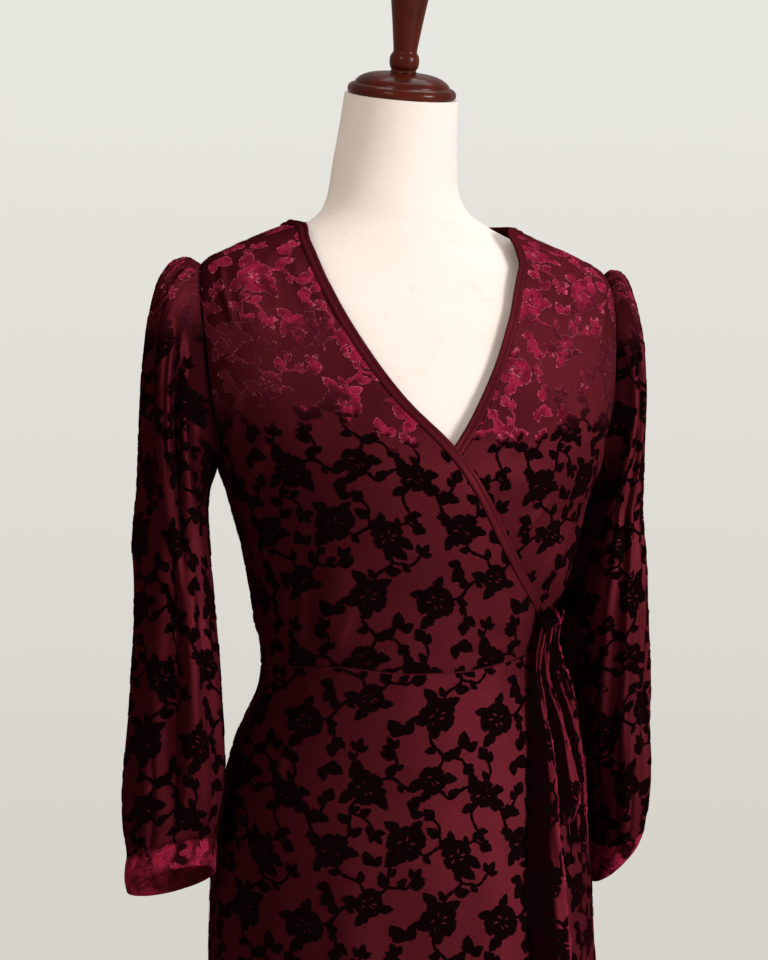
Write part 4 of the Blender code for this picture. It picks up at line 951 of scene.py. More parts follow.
def outward(rings):
    """Level directions from the middle of each ring to its points."""
    aside = rings - rings.mean(axis=1, keepdims=True)
    aside[..., 2] = 0
    return unit(aside)


def cuff_grid(side, rows):
    """Points of a cuff's middle surface, softly dented and drawn in at both edges."""
    turn = np.linspace(0, 360, CUFF_COLUMNS, endpoint=False)
    heights = np.linspace(rows[0].height, rows[-1].height, CUFF_ROWS + 1)
    grid = np.array([hanging_ring(rows, side, turn, height) for height in heights])
    share = np.linspace(0, 1, CUFF_ROWS + 1)[:, None]
    dent = sum(d.rise * np.cos(np.radians(d.waves * turn + d.phase)) * np.sin(np.pi * share * d.up)
               for d in CUFF_DENTS)
    edge = bell(share / CUFF_EDGE_SHARES[0]) + bell((1 - share) / CUFF_EDGE_SHARES[1])
    return grid + outward(grid) * (dent + CUFF_EDGE * (1 - edge))[..., None]


# ---- ties
def ribbon_grid(rows, ripple, phase):
    """Points of a limp strip of the tie along a path over the skirt, curled and turned edge out."""
    fine = np.linspace(0, len(rows) - 1, RIBBON_ROWS + 1)
    strip = between(rows, fine)
    path = joined(strip.angle, strip.height)
    turn = np.radians(strip.turn)
    columns = []
    for share in np.linspace(-1, 1, RIBBON_COLUMNS + 1):
        aside = inset_edge(path, share * strip.half * np.cos(turn), 1)
        wave = (ripple * np.sin(fine * RIPPLE_WAVES + phase + RIPPLE_SLANT * share)
                * np.cos(RIPPLE_ACROSS * share + phase))
        fold = (RIBBON_FOLD * strip.half / strip.half.max()
                * np.cos(RIBBON_FOLDS * math.pi * share + phase))
        bulge = RIBBON_BULGE * strip.half * (1 - abs(share) ** RIBBON_SQUARENESS)
        lift = strip.out + strip.curl * share * share + wave + fold + bulge
        lift = lift + share * strip.half * np.sin(turn)
        columns.append(on_cloth(aside[:, 0], aside[:, 1], np.maximum(lift, RIBBON_CLEAR)))
    return np.stack(columns, axis=1)


def edge_roll(name, grid, finish):
    """The rolled first edge of a strip; its finish paints it as a highlight where its pile catches the
    light.
    """
    path = grid[:, 0]
    inward = unit(grid[:, 1] - path)
    up = np.cross(unit(np.gradient(path, axis=0)), inward)
    turn = np.linspace(0, 2 * math.pi, ROLL_SIDES, endpoint=False)
    step = np.arange(len(path))[:, None]
    radius = ROLL_RADIUS * (1 + ROLL_UNEVEN * np.sin(step * ROLL_WAVE + 2 * np.sin(step * ROLL_DRIFT)))
    middle = path + inward * ROLL_RADIUS * ROLL_INSIDE
    rolled = (middle[:, None] + inward[:, None] * (np.cos(turn) * radius)[..., None]
              + up[:, None] * (np.sin(turn) * radius)[..., None])
    add(name, face_mesh(name, rolled, grid_faces(len(path), ROLL_SIDES, True)), finish)


def knot_piece(finish):
    """The knot: a small lump, longer than high, with soft folds that wind round it."""
    up = np.linspace(KNOT_POLE, math.pi - KNOT_POLE, KNOT_ROWS)[:, None]
    turn = np.linspace(0, 2 * math.pi, KNOT_COLUMNS, endpoint=False)[None, :]
    winding = np.cos(KNOT_WINDS * turn + KNOT_TWIST * np.cos(up) + KNOT_START) * np.sin(up) ** 1.5
    pleats = np.cos(KNOT_PLEAT_COUNT * turn - KNOT_PLEAT_TWIST * np.cos(up)) * np.sin(up) ** 2
    band_at = KNOT_BAND_AT + KNOT_BAND_TILT * np.cos(turn - KNOT_BAND_TURN)
    band = bell((np.cos(up) - band_at) / KNOT_BAND_WIDTH)
    radius = KNOT_CORE + KNOT_WINDING * winding + KNOT_PLEATS * pleats + KNOT_BAND * band
    rings = joined(np.sin(up) * np.cos(turn), np.sin(up) * np.sin(turn), np.cos(up))
    lean = Matrix.Rotation(math.radians(KNOT_LEAN), 3, "Y")
    spin = Matrix.Rotation(math.radians(KNOT_ANGLE), 3, "Z") @ lean
    rings = (rings * radius[..., None] * KNOT_SIZE) @ np.array(spin).T
    rings = rings + on_cloth(KNOT_ANGLE, KNOT_HEIGHT, KNOT_OUT)
    mesh = closed_mesh("tie_knot_fine", rings, [rings[0].mean(axis=0), rings[-1].mean(axis=0)])
    add("tie_knot_fine", mesh, finish, "tie_knot")


def form_piece(finish):
    """The covered torso and neck; its upper rings lean forward with the neck."""
    turn = np.linspace(0, 2 * math.pi, FORM_COLUMNS, endpoint=False)
    places = np.linspace(0, len(FORM) - 1, (len(FORM) - 1) * FORM_ROWS_PER_SECTION + 1)[::-1]
    rows = Body(*(values[:, None] for values in between(FORM, places)))
    ahead = np.cos(turn)
    forward = np.where(ahead > 0, rows.front, rows.back) * ahead
    rings = joined(rows.half_width * np.sin(turn), rows.centre_y - forward,
                   rows.height - np.tan(np.radians(rows.lean)) * forward)
    mesh = closed_mesh("form_torso_fine", rings, [rings[0].mean(axis=0), rings[-1].mean(axis=0)])
    add("form_torso_fine", mesh, finish, "form_torso")
    mesh.set_sharp_from_angle(angle=math.radians(FORM_SHARP))


# ---- the burned-out motif
TILE = 0.176                    # repeat of the motif across and down the cloth
Bloom = namedtuple("Bloom", "x y size turn petals leaves")
Stem = namedtuple("Stem", "width leaves tip points")
Pair = namedtuple("Pair", "x y way size")

# One repeat, in centimetres: x across, y up the cloth. Leaves are directions in degrees. A stem ends
# in a bud, a trefoil or nothing; a pair is two leaves on their own.
BLOOMS = listed(Bloom,
    (2.6, 3.0, 1.62, 10, 5, (98, 140, 262)),
    (8.3, 5.2, 1.22, 40, 5, (196, 322, 262)),
    (14.3, 3.6, 1.64, 75, 5, (58, 96, 206)),
    (5.2, 9.6, 1.52, 20, 6, (168, 208, 12)),
    (11.6, 10.2, 1.68, 55, 5, (72, 112, 246)),
    (1.2, 14.2, 1.3, 30, 5, (28, 306, 150)),
    (8.2, 15.0, 1.6, 5, 5, (146, 186, 336)),
    (16.2, 9.0, 1.46, 62, 6, (128, 282, 354)),
    (14.0, 15.6, 1.26, 25, 5, (24, 176, 262)),
)
STEMS = listed(Stem,
    (0.26, 3, "", ((2.6, 3.0), (4.7, 3.4), (6.2, 4.9), (8.3, 5.2))),
    (0.26, 3, "", ((8.3, 5.2), (9.8, 6.6), (10.2, 8.4), (11.6, 10.2))),
    (0.24, 2, "", ((8.3, 5.2), (7.4, 7.0), (5.9, 7.7), (5.2, 9.6))),
    (0.26, 3, "", ((5.2, 9.6), (3.6, 10.9), (2.9, 12.7), (1.2, 14.2))),
    (0.26, 3, "", ((5.2, 9.6), (6.7, 11.2), (6.8, 13.0), (8.2, 15.0))),
    (0.25, 3, "", ((8.2, 15.0), (10.2, 15.9), (12.0, 14.9), (14.0, 15.6))),
    (0.25, 2, "", ((11.6, 10.2), (13.3, 9.2), (14.6, 9.8), (16.2, 9.0))),
    (0.26, 3, "", ((14.3, 3.6), (14.9, 5.4), (16.4, 6.7), (16.2, 9.0))),
    (0.25, 3, "", ((14.0, 15.6), (14.9, 17.5), (13.7, 19.2), (14.3, 21.2))),
    (0.25, 2, "", ((14.0, 15.6), (15.6, 14.0), (17.2, 14.9), (18.8, 14.2))),
    (0.22, 2, "bud", ((4.7, 3.4), (5.3, 2.2), (5.2, 0.9))),
    (0.22, 2, "trefoil", ((9.8, 6.6), (11.4, 6.4), (12.2, 7.2))),
    (0.22, 2, "bud", ((2.9, 12.7), (4.2, 13.0), (4.9, 14.2))),
    (0.22, 2, "trefoil", ((6.8, 13.0), (8.2, 12.3), (8.9, 11.2))),
    (0.22, 2, "trefoil", ((10.2, 15.9), (10.8, 17.2), (10.4, 18.4))),
    (0.22, 1, "bud", ((14.9, 17.5), (16.4, 17.4), (17.2, 16.6))),
    (0.22, 2, "trefoil", ((8.2, 15.0), (7.0, 16.8), (7.4, 18.3))),
    (0.22, 2, "bud", ((1.2, 14.2), (1.9, 16.2), (1.2, 17.6))),
    (0.22, 1, "trefoil", ((16.4, 6.7), (18.0, 6.4), (19.0, 7.4))),
    (0.21, 1, "bud", ((14.6, 9.8), (14.6, 11.4), (13.8, 12.5))),
    (0.21, 1, "trefoil", ((1.2, 14.2), (0.0, 12.4), (0.6, 11.0))),
    (0.21, 1, "bud", ((16.2, 9.0), (17.7, 10.2), (18.6, 9.8))),
)
PAIRS = listed(Pair,
    (11.3, 2.0, 100, 1.35), (5.0, 6.2, 200, 1.15), (12.0, 13.0, 20, 1.1), (4.6, 16.9, 300, 1.2),
    (17.0, 0.6, 60, 1.15), (8.6, 8.4, 80, 1.0),
)
BLOOM_SIZE = 1.02
LEAF_LONG = 1.30
LEAF_BEND = 0.25
LEAF_CURVE = 0.3
LEAF_TURN = 0.75                # how far a leaf beside a flower turns from the spoke it starts on
LEAF_FOOT = 0.84                # share of the flower's size
LEAF_WIDE = 0.33                # half width, as a share of the length
LEAFLET = 1.14
PILE_EDGE = 0.00048             # height of the pile over the ground at its outline
PILE_RISE = 0.00014             # how much higher it is inside
PILE_SLOPE = 0.12               # in centimetres
CELL = 0.46                     # spacing of the points inside a motif, in centimetres
CELL_ROWS = 0.87                # height of a row of them, as a share of the spacing
TOUCHING = 1e-5                 # points closer than this are one
MOTIF_MARGIN = 0.03             # metres that a repeat may reach past a panel's range
PETAL_POINTS = 14               # outline of a flower, in shares of its size
PETAL_NOTCH = 0.20
PETAL_SQUARENESS = 6
PETAL_UNEVEN = 0.08
PETAL_UNEVEN_WAVE = 2.3
NICK = 0.03
NICK_WAVE = 8.6
NICK_SHIFT = 1.9
NICK_FADE = 0.6
FINE_NICK = 0.025
FINE_NICK_WAVE = 2.4
BLOOM_FLATNESS = 0.95
MARKS = 5                       # bare marks round a flower's heart, in degrees, centimetres and radians
MARK_START = 20
MARK_SWAY = 14
MARK_REACH = 0.26
MARK_STEP = 0.07
MARK_TWIST = 0.6
MARK = ((-0.26, -0.05), (-0.08, 0.08), (0.22, 0.09), (0.28, -0.04), (0.03, -0.07))
Leaflet = namedtuple("Leaflet", "turn length wide")
# Small leaves at the end of a stem and in pairs: turn in radians, length and half width.
BUD = Leaflet(0.0, 1.30, 0.40)
SEPAL = Leaflet(0.85, 0.80, 0.24)
TREFOIL = Leaflet(0.95, 1.15, 0.31)
TREFOIL_SHORTER = 0.15 / 1.15
TWIN = Leaflet(0.62, 1.3, 0.36)
TWIN_UNEVEN = 0.12
STEM_STEPS = 6
KNOB = 0.55
STEM_RISE = 0.55
LEAF = (                        # share along the leaf, half width there, nick in its upper side
    (0.0, 0.0, 1), (0.1, 0.55, 1), (0.24, 0.92, 1), (0.4, 1.0, 1), (0.56, 0.94, 0.74),
    (0.7, 0.72, 1.08), (0.84, 0.46, 1), (1.0, 0.0, 1),
)


def inside(polygon, points):
    """Which points lie inside a polygon."""
    x, y = points[:, :1], points[:, 1:2]
    ax, ay = polygon.T
    bx, by = np.roll(ax, -1), np.roll(ay, -1)
    at = ax + (y - ay) * (bx - ax) / np.where(by == ay, 1, by - ay)
    return (((ay > y) != (by > y)) & (x < at)).sum(axis=1) % 2 == 1


def filled(outline, holes=()):
    """Triangles inside an outline and outside its holes: points (x, y, share of the rise), faces."""
    loops = [outline, *holes]
    rim = np.concatenate(loops)
    low, high = outline.min(axis=0), outline.max(axis=0)
    xs, ys = np.meshgrid(np.arange(low[0], high[0], CELL), np.arange(low[1], high[1], CELL * CELL_ROWS))
    xs = xs + CELL / 2 * (np.arange(len(xs)) % 2)[:, None]
    core = joined(xs.ravel(), ys.ravel())
    core = core[inside(outline, core)]
    core = core[np.linalg.norm(core[:, None] - rim[None], axis=-1).min(axis=1) > PILE_SLOPE]
    edges = []
    start = 0
    for loop in loops:
        edges += [(start + i, start + (i + 1) % len(loop)) for i in range(len(loop))]
        start += len(loop)
    found = delaunay_2d_cdt([Vector(p) for p in np.concatenate([rim, core])], edges, [], 0, TOUCHING)
    corners = np.array([tuple(v) for v in found[0]])
    faces = np.array([f for f in found[2] if len(f) == 3])
    centre = corners[faces].mean(axis=1)
    keep = inside(outline, centre)
    for hole in holes:
        keep &= ~inside(hole, centre)
    faces = faces[keep]
    gap = np.linalg.norm(corners[:, None] - rim[None], axis=-1).min(axis=1)
    a, b, c = (corners[faces[:, i]] for i in range(3))
    turn = (b[:, 0] - a[:, 0]) * (c[:, 1] - a[:, 1]) - (b[:, 1] - a[:, 1]) * (c[:, 0] - a[:, 0])
    faces[turn < 0] = faces[turn < 0][:, ::-1]
    return np.column_stack([corners, np.clip(gap / PILE_SLOPE, 0, 1)]), faces


def heading(angle):
    """Direction at this angle in the plane."""
    return np.array([math.cos(angle), math.sin(angle)])


def turned_about(angle):
    """Matrix that turns points (as rows) by an angle in the plane."""
    x, y = heading(angle)
    return np.array([[x, y], [-y, x]])


def bloom(flower):
    """An open flower: broad petals with nicked edges, and small marks of bare ground at its heart."""
    step = np.arange(flower.petals * PETAL_POINTS)
    turn = step * 2 * np.pi / len(step)
    number = step // PETAL_POINTS
    across = (step % PETAL_POINTS) / PETAL_POINTS * 2 - 1
    petal = 1 - PETAL_NOTCH * np.abs(across) ** PETAL_SQUARENESS
    nicks = NICK * np.cos(across * NICK_WAVE + number * NICK_SHIFT)
    nicks = nicks + FINE_NICK * np.cos(step * FINE_NICK_WAVE + number)
    uneven = 1 + PETAL_UNEVEN * np.sin(PETAL_UNEVEN_WAVE * number + flower.turn)
    radius = BLOOM_SIZE * flower.size * uneven * (petal + nicks * (1 - NICK_FADE * np.abs(across)))
    outline = joined(radius * np.cos(turn), BLOOM_FLATNESS * radius * np.sin(turn))
    holes = []
    for i in range(MARKS):
        way = math.radians(MARK_START + 360 / MARKS * i + MARK_SWAY * (i % 2))
        reach = flower.size * (MARK_REACH + MARK_STEP * (i % 3))
        holes.append(np.array(MARK) @ turned_about(way + MARK_TWIST * (i % 2)) + heading(way) * reach)
    spin = turned_about(math.radians(flower.turn))
    place = np.array([flower.x, flower.y])
    return filled(outline @ spin + place, [hole @ spin + place for hole in holes])


def leaf(place, way, length, wide=LEAF_WIDE, bend=LEAF_BEND):
    """A pointed leaf with a nick in one side, from its foot: way is its direction in radians."""
    t, half, nick = np.array(LEAF).T
    half = wide * length * half
    middle = bend * length * t * (1 - t)
    upper = joined(t * length, middle + half * nick)
    lower = joined(t * length, middle - half)[1:-1][::-1]
    outline = np.concatenate([upper, lower]) @ turned_about(way) + place
    return filled(outline[::-1])


def stem_strip(line, width):
    """A knobbly strip along a line, as points and triangles."""
    run = np.gradient(line, axis=0)
    aside = unit(joined(-run[:, 1], run[:, 0]))
    step = np.arange(len(line))
    left, right = (width / 2 * (1 + 0.30 * np.sin(step * wave + start) + KNOB * (step % 5 == knob))[:, None]
                   for wave, start, knob in ((2.4, 0, 2), (1.7, 1, 4)))
    points = np.stack([line - aside * left, line, line + aside * right], axis=1)
    share = np.broadcast_to(np.array([0.0, STEM_RISE, 0.0])[:, None], (len(line), 3, 1))
    quads = grid_faces(len(line), 3)
    return (np.concatenate([points, share], axis=-1).reshape(-1, 3),
            np.concatenate([quads[:, [2, 1, 0]], quads[:, [3, 2, 0]]]))


def flowers():
    """Each flower with the leaves round it."""
    for flower in BLOOMS:
        yield bloom(flower)
        for i, degrees in enumerate(flower.leaves):
            way = math.radians(degrees)
            side = 1 if i % 2 else -1
            foot = np.array([flower.x, flower.y]) + LEAF_FOOT * flower.size * heading(way)
            length = LEAF_LONG * (1.10 + 0.14 * math.sin(2.1 * i + flower.turn))
            yield leaf(foot, way + LEAF_TURN * side, length, LEAF_WIDE, LEAF_CURVE * side)


def stems():
    """Each stem with its leaves and its tip."""
    for number, stem in enumerate(STEMS):
        points = np.array(stem.points)
        fine = np.linspace(0, len(points) - 1, STEM_STEPS * len(points) - STEM_STEPS // 2)
        line = joined(*(smooth(np.arange(len(points)), values, fine) for values in points.T))
        yield stem_strip(line, stem.width)
        for i in range(stem.leaves):
            at = int((0.30 + 0.44 * i / max(stem.leaves - 1, 1)) * (len(line) - 1))
            run = line[at + 1] - line[at - 1]
            side = 1 if (i + number) % 2 else -1
            way = math.atan2(run[1], run[0]) + side * (0.80 + 0.25 * math.sin(3.1 * number + i))
            length = LEAFLET * (1.05 + 0.28 * math.sin(1.7 * number + 2.3 * i))
            yield leaf(line[at], way, length, LEAF_WIDE, LEAF_BEND * side)
        run = line[-1] - line[-3]
        way = math.atan2(run[1], run[0])
        if stem.tip == "bud":
            yield leaf(line[-1] - run, way, BUD.length, BUD.wide, 0.0)
            for side in (1, -1):
                yield leaf(line[-2], way + SEPAL.turn * side, SEPAL.length, SEPAL.wide, LEAF_BEND * side)
        if stem.tip == "trefoil":
            for i in (-1, 0, 1):
                length = TREFOIL.length * (1 - TREFOIL_SHORTER * abs(i))
                yield leaf(line[-1], way + TREFOIL.turn * i, length, TREFOIL.wide, LEAF_BEND * i)


def pairs():
    """Each pair of leaves on their own."""
    for pair in PAIRS:
        for side in (-1, 1):
            way = math.radians(pair.way) + TWIN.turn * side
            length = pair.size * (TWIN.length + TWIN_UNEVEN * side)
            yield leaf(np.array([pair.x, pair.y]), way, length, TWIN.wide, LEAF_CURVE * side)


def gathered(made):
    """One set of points and faces from many."""
    points, faces, start = [], [], 0
    for place, corners in made:
        points.append(place)
        faces.append(corners + start)
        start += len(place)
    return np.concatenate(points), np.concatenate(faces)


def repeats(across, down, shift):
    """The motif laid side by side over the flat ranges across and down."""
    points, faces = MOTIF
    counts = [range(math.floor((low - start) / TILE) - 1, math.ceil((high - start) / TILE) + 1)
              for (low, high), start in zip((across, down), shift)]
    low = np.array([across[0], down[0]]) - MOTIF_MARGIN
    high = np.array([across[1], down[1]]) + MOTIF_MARGIN
    for i in counts[0]:
        for j in counts[1]:
            moved = points.copy()
            moved[:, :2] = points[:, :2] / 100 + np.array([i, j]) * TILE + shift
            near = ((moved[:, :2] > low) & (moved[:, :2] < high)).all(axis=1)
            kept = faces[near[faces].all(axis=1)]
            if len(kept):
                yield moved, kept


def pile_mesh(piece, surface, across, down, finish):
    """The motif laid over a piece of cloth. surface gives places and what is outside for flat points
    (across, up, lift in metres); across and down are the ranges of flat points that it covers."""
    flat, corners = gathered(repeats(across, down, SHIFTS[piece]))
    used, corners = np.unique(corners, return_inverse=True)
    corners = corners.reshape(-1, 3)
    flat = flat[used]
    place, outside = surface(flat[:, 0], flat[:, 1], WALL / 2 + PILE_EDGE + PILE_RISE * flat[:, 2])
    corners = corners[~outside[corners].all(axis=1)]
    used, corners = np.unique(corners, return_inverse=True)
    mesh = face_mesh(piece + "_pile", place[used], corners.reshape(-1, 3))
    rim = mesh.attributes.new("rim", "FLOAT", "POINT")
    rim.data.foreach_set("value", flat[used, 2])
    add(piece + "_pile", mesh, finish)


def sampled(table, row, column_at):
    """Values of a table between its cells."""
    r = np.clip(np.floor(row).astype(int), 0, table.shape[0] - 2)
    c = np.clip(np.floor(column_at).astype(int), 0, table.shape[1] - 2)
    fr, fc = row - r, column_at - c
    if table.ndim == 3:
        fr, fc = fr[:, None], fc[:, None]
    return ((table[r, c] * (1 - fr) + table[r + 1, c] * fr) * (1 - fc)
            + (table[r, c + 1] * (1 - fr) + table[r + 1, c + 1] * fr) * fc)


def cell_of(values, x):
    """Place of x in a rising row of values, counted in cells."""
    return np.interp(x, values, np.arange(len(values)))


class BodyMap:
    """Flat cloth laid on the body: across is measured round from one angle, up from the waist."""

    def __init__(self, zero):
        self.zero = zero
        self.height = np.linspace(HEM - MAP_PAST, CLOTH[-1].height, MAP_ROWS)
        self.across = np.linspace(-MAP_REACH, MAP_REACH, 2 * MAP_HALF + 1)
        turn = np.linspace(-MAP_TURN, MAP_TURN, MAP_TURNS)
        angle = np.empty((len(self.height), len(self.across)))
        for i, height in enumerate(self.height):
            length = run_of(ring(CLOTH, turn + zero, height))
            angle[i] = np.interp(self.across, length - np.interp(0, turn, length), turn)
        self.angle = angle
        place = ring(CLOTH, angle + zero, self.height[:, None])
        up = np.linalg.norm(np.diff(place, axis=0), axis=-1)
        up = np.concatenate([np.zeros((1, up.shape[1])), np.cumsum(up, axis=0)])
        up -= up[int(np.searchsorted(self.height, WAIST[0].height))]
        self.up = np.linspace(*MAP_UP)
        self.up_height = np.stack([np.interp(self.up, line, self.height) for line in up.T])

    def place(self, across, up):
        """Angle and height of flat points."""
        height = sampled(self.up_height, cell_of(self.across, across), cell_of(self.up, up))
        angle = sampled(self.angle, cell_of(self.height, height), cell_of(self.across, across))
        return angle + self.zero, height


def body_surface(flat, edges, low_height, high_height, drop):
    """surface for pile_mesh on a body panel; its two edges are tables of angle by height."""
    low_edge, high_edge = (edge[np.argsort(edge[:, 1])] for edge in edges)
    keep = math.degrees(EDGE_KEEP / CREASE_RADIUS)

    def surface(across, up, lift):
        angle, height = flat.place(across, up)
        held = np.clip(height, low_height(angle) + EDGE_KEEP, high_height(angle) - EDGE_KEEP)
        low = np.interp(held, low_edge[:, 1], low_edge[:, 0]) + keep
        high = np.interp(held, high_edge[:, 1], high_edge[:, 0]) - keep
        turned_in = np.clip(angle, low, high)
        outside = (np.abs(held - height) > MOVED) | (np.abs(turned_in - angle) > MOVED)
        out = lift - (under_drop(turned_in, held) if drop else 0.0)
        return on_cloth(turned_in, held, out), outside

    return surface


def grid_surface(grid, closed=False, seam=0, outward_sign=1):
    """surface for pile_mesh on any grid of points, and the flat ranges that it covers. Across goes by
    the grid's columns, so the motif gathers with them; up is measured from the last row."""
    if closed:
        grid = np.roll(grid, -seam, axis=1)
        grid = np.concatenate([grid, grid[:, :1]], axis=1)
    around = np.gradient(grid, axis=1)
    if closed:
        around[:, 0] = around[:, -1] = grid[:, 1] - grid[:, -2]
    normal = unit(np.cross(around, np.gradient(grid, axis=0)) * outward_sign)
    width = np.median(np.linalg.norm(np.diff(grid, axis=1), axis=-1).sum(axis=1))
    long = np.linalg.norm(np.diff(grid, axis=0), axis=-1)[::-1]
    long = np.concatenate([np.zeros((1, grid.shape[1])), np.cumsum(long, axis=0)])[::-1]
    heights = np.linspace(0, long.max(), GRID_HEIGHTS)
    rows = np.stack([np.interp(heights, line[::-1], np.arange(len(grid))[::-1]) for line in long.T], axis=1)

    def surface(across, up, lift):
        c = (across / width + 0.5) * (grid.shape[1] - 1)
        row = sampled(rows, cell_of(heights, up), c)
        longest = np.interp(c, np.arange(grid.shape[1]), long[0])
        outside = (np.abs(across) > width / 2) | (up < 0) | (up > longest)
        return sampled(grid, row, c) + sampled(normal, row, c) * lift[:, None], outside

    return surface, (-width / 2, width / 2), (0.0, long.max())


# ---- materials
class Finish:
    """A Principled material that is put together node by node."""

    def __init__(self, name, **sockets):
        self.made = bpy.data.materials.new(name)
        self.made.use_nodes = True
        self.tree = self.made.node_tree
        self.shader = self.tree.nodes["Principled BSDF"]
        self.place = self.node("ShaderNodeTexCoord").outputs["Object"]
        for socket, value in sockets.items():
            self.shader.inputs[socket.replace("_", " ")].default_value = value

    def node(self, kind, settings=(), **inputs):
        """A node; inputs are named by their sockets, or by _0, _1 and so on."""
        made = self.tree.nodes.new(kind)
        for setting, value in dict(settings).items():
            setattr(made, setting, value)
        for socket, value in inputs.items():
            key = int(socket[1:]) if socket[1:].isdigit() else socket.replace("_", " ")
            if isinstance(value, bpy.types.NodeSocket):
                self.tree.links.new(value, made.inputs[key])
            else:
                made.inputs[key].default_value = value
        return made

    def set(self, socket, value):
        """Drive one of the shader's sockets."""
        self.tree.links.new(value, self.shader.inputs[socket])

    def height(self):
        """Height of the point on the surface."""
        return self.node("ShaderNodeSeparateXYZ", Vector=self.place).outputs["Z"]

    def noise(self, scale, detail=2.0, roughness=0.5, place=None):
        """Soft noise; scale is in features per metre."""
        return self.node("ShaderNodeTexNoise", Vector=place or self.place, Scale=scale, Detail=detail,
                         Roughness=roughness).outputs["Fac"]

    def span(self, value, low, high, low_to=0.0, high_to=1.0):
        """The value eased from low to high onto another range, and held at its ends."""
        return self.node("ShaderNodeMapRange", {"interpolation_type": "SMOOTHSTEP"}, Value=value,
                         From_Min=low, From_Max=high, To_Min=low_to, To_Max=high_to).outputs["Result"]

    def spots(self, scale, low, high, detail=2.0, roughness=0.5):
        """Patches of noise: 0 where it is under low, 1 where it is over high."""
        return self.span(self.noise(scale, detail, roughness), low, high)

    def waves(self, axis, scale, distortion, detail=2.0):
        """Parallel bands along an axis, for a knit or a weave."""
        return self.node("ShaderNodeTexWave", {"bands_direction": axis}, Vector=self.place, Scale=scale,
                         Distortion=distortion, Detail=detail).outputs["Fac"]

    def mix(self, share, first, second):
        """From the first colour to the second; each is a socket or three numbers."""
        first, second = (value if isinstance(value, bpy.types.NodeSocket) else (*value, 1.0)
                         for value in (first, second))
        made = self.node("ShaderNodeMix", {"data_type": "RGBA"}, Factor=share, _6=first, _7=second)
        return made.outputs[2]

    def maths(self, operation, first, second=0.5):
        """One sum on two values."""
        return self.node("ShaderNodeMath", {"operation": operation}, _0=first, _1=second).outputs[0]

    def times(self, first, second):
        """The product of two values."""
        return self.maths("MULTIPLY", first, second)

    def bump(self, height, distance, strength=1.0, below=None):
        """Fine relief, over the relief in below."""
        under = {} if below is None else {"Normal": below}
        made = self.node("ShaderNodeBump", Height=height, Distance=distance, Strength=strength, **under)
        self.set("Normal", made.outputs["Normal"])
        return made.outputs["Normal"]

    def hairs(self):
        """Single hairs of a pile."""
        return self.spots(1400.0, 0.30, 0.72, 2.0, 0.7)

    def pile_relief(self, scale, distance, strength):
        """Fine tufts over a broader unevenness."""
        tufts = self.bump(self.noise(1100.0, 2.0, 0.7), 0.0003, 0.6)
        self.bump(self.noise(scale, 2.0), distance, strength, tufts)

    def turned_to(self, direction, low, high):
        """How far the surface faces a direction, as a share between two cosines."""
        normal = self.node("ShaderNodeNewGeometry").outputs["Normal"]
        cosine = self.node("ShaderNodeVectorMath", {"operation": "DOT_PRODUCT"}, _0=normal, _1=direction)
        return self.span(cosine.outputs["Value"], low, high)


def scaled(colour, share):
    """A colour at a share of its brightness."""
    return tuple(c * share for c in colour)


def ground_finish(name, lit, shade, turned_range=(-0.60, 0.62), away=0.24, painted_shade_heights=None):
    """The bare ground of the velvet: a fine knit with a soft silky shine, with painted shade where it turns
    away from the light.

    Between the two heights given for the body's shade the colour is also painted darker on the inner side,
    as painted shade of the body.
    """
    f = Finish(name, Roughness=0.52, Specular_IOR_Level=0.0, Specular_Tint=(0.30, 0.035, 0.055, 1.0))
    facing = f.turned_to(PAINTED_LIGHT_SIDE, *turned_range)
    # painted shade of the body on the inner side, between two heights
    if painted_shade_heights:
        low, high = painted_shade_heights
        height = f.height()
        height_share = f.times(f.span(height, low, low + 0.05), f.span(height, high + 0.04, high))
        painted_body_shade = f.times(height_share, f.turned_to(PAINTED_LIGHT_SIDE, 0.28, 0.62))
        facing = f.times(facing, f.maths("SUBTRACT", 1.0, painted_body_shade))
    f.set("Metallic", f.times(facing, GROUND_SHINE))
    base = f.mix(f.spots(9.0, 0.30, 0.70, 3.0), shade, lit)
    base = f.mix(f.times(f.spots(900.0, 0.25, 0.75, 1.0), 0.40), base, scaled(shade, 0.45))
    # painted shade: where the cloth faces away from the light's side, its colour falls to a share of the lit
    # colour
    f.set("Base Color", f.mix(facing, scaled(lit, away), base))
    wales = f.waves("X", 320.0, 1.2, 1.0)
    knit = f.bump(wales, 0.00012, 0.5)
    f.bump(f.noise(1500.0, 1.0), 0.00010, 0.5, knit)
    return f.made


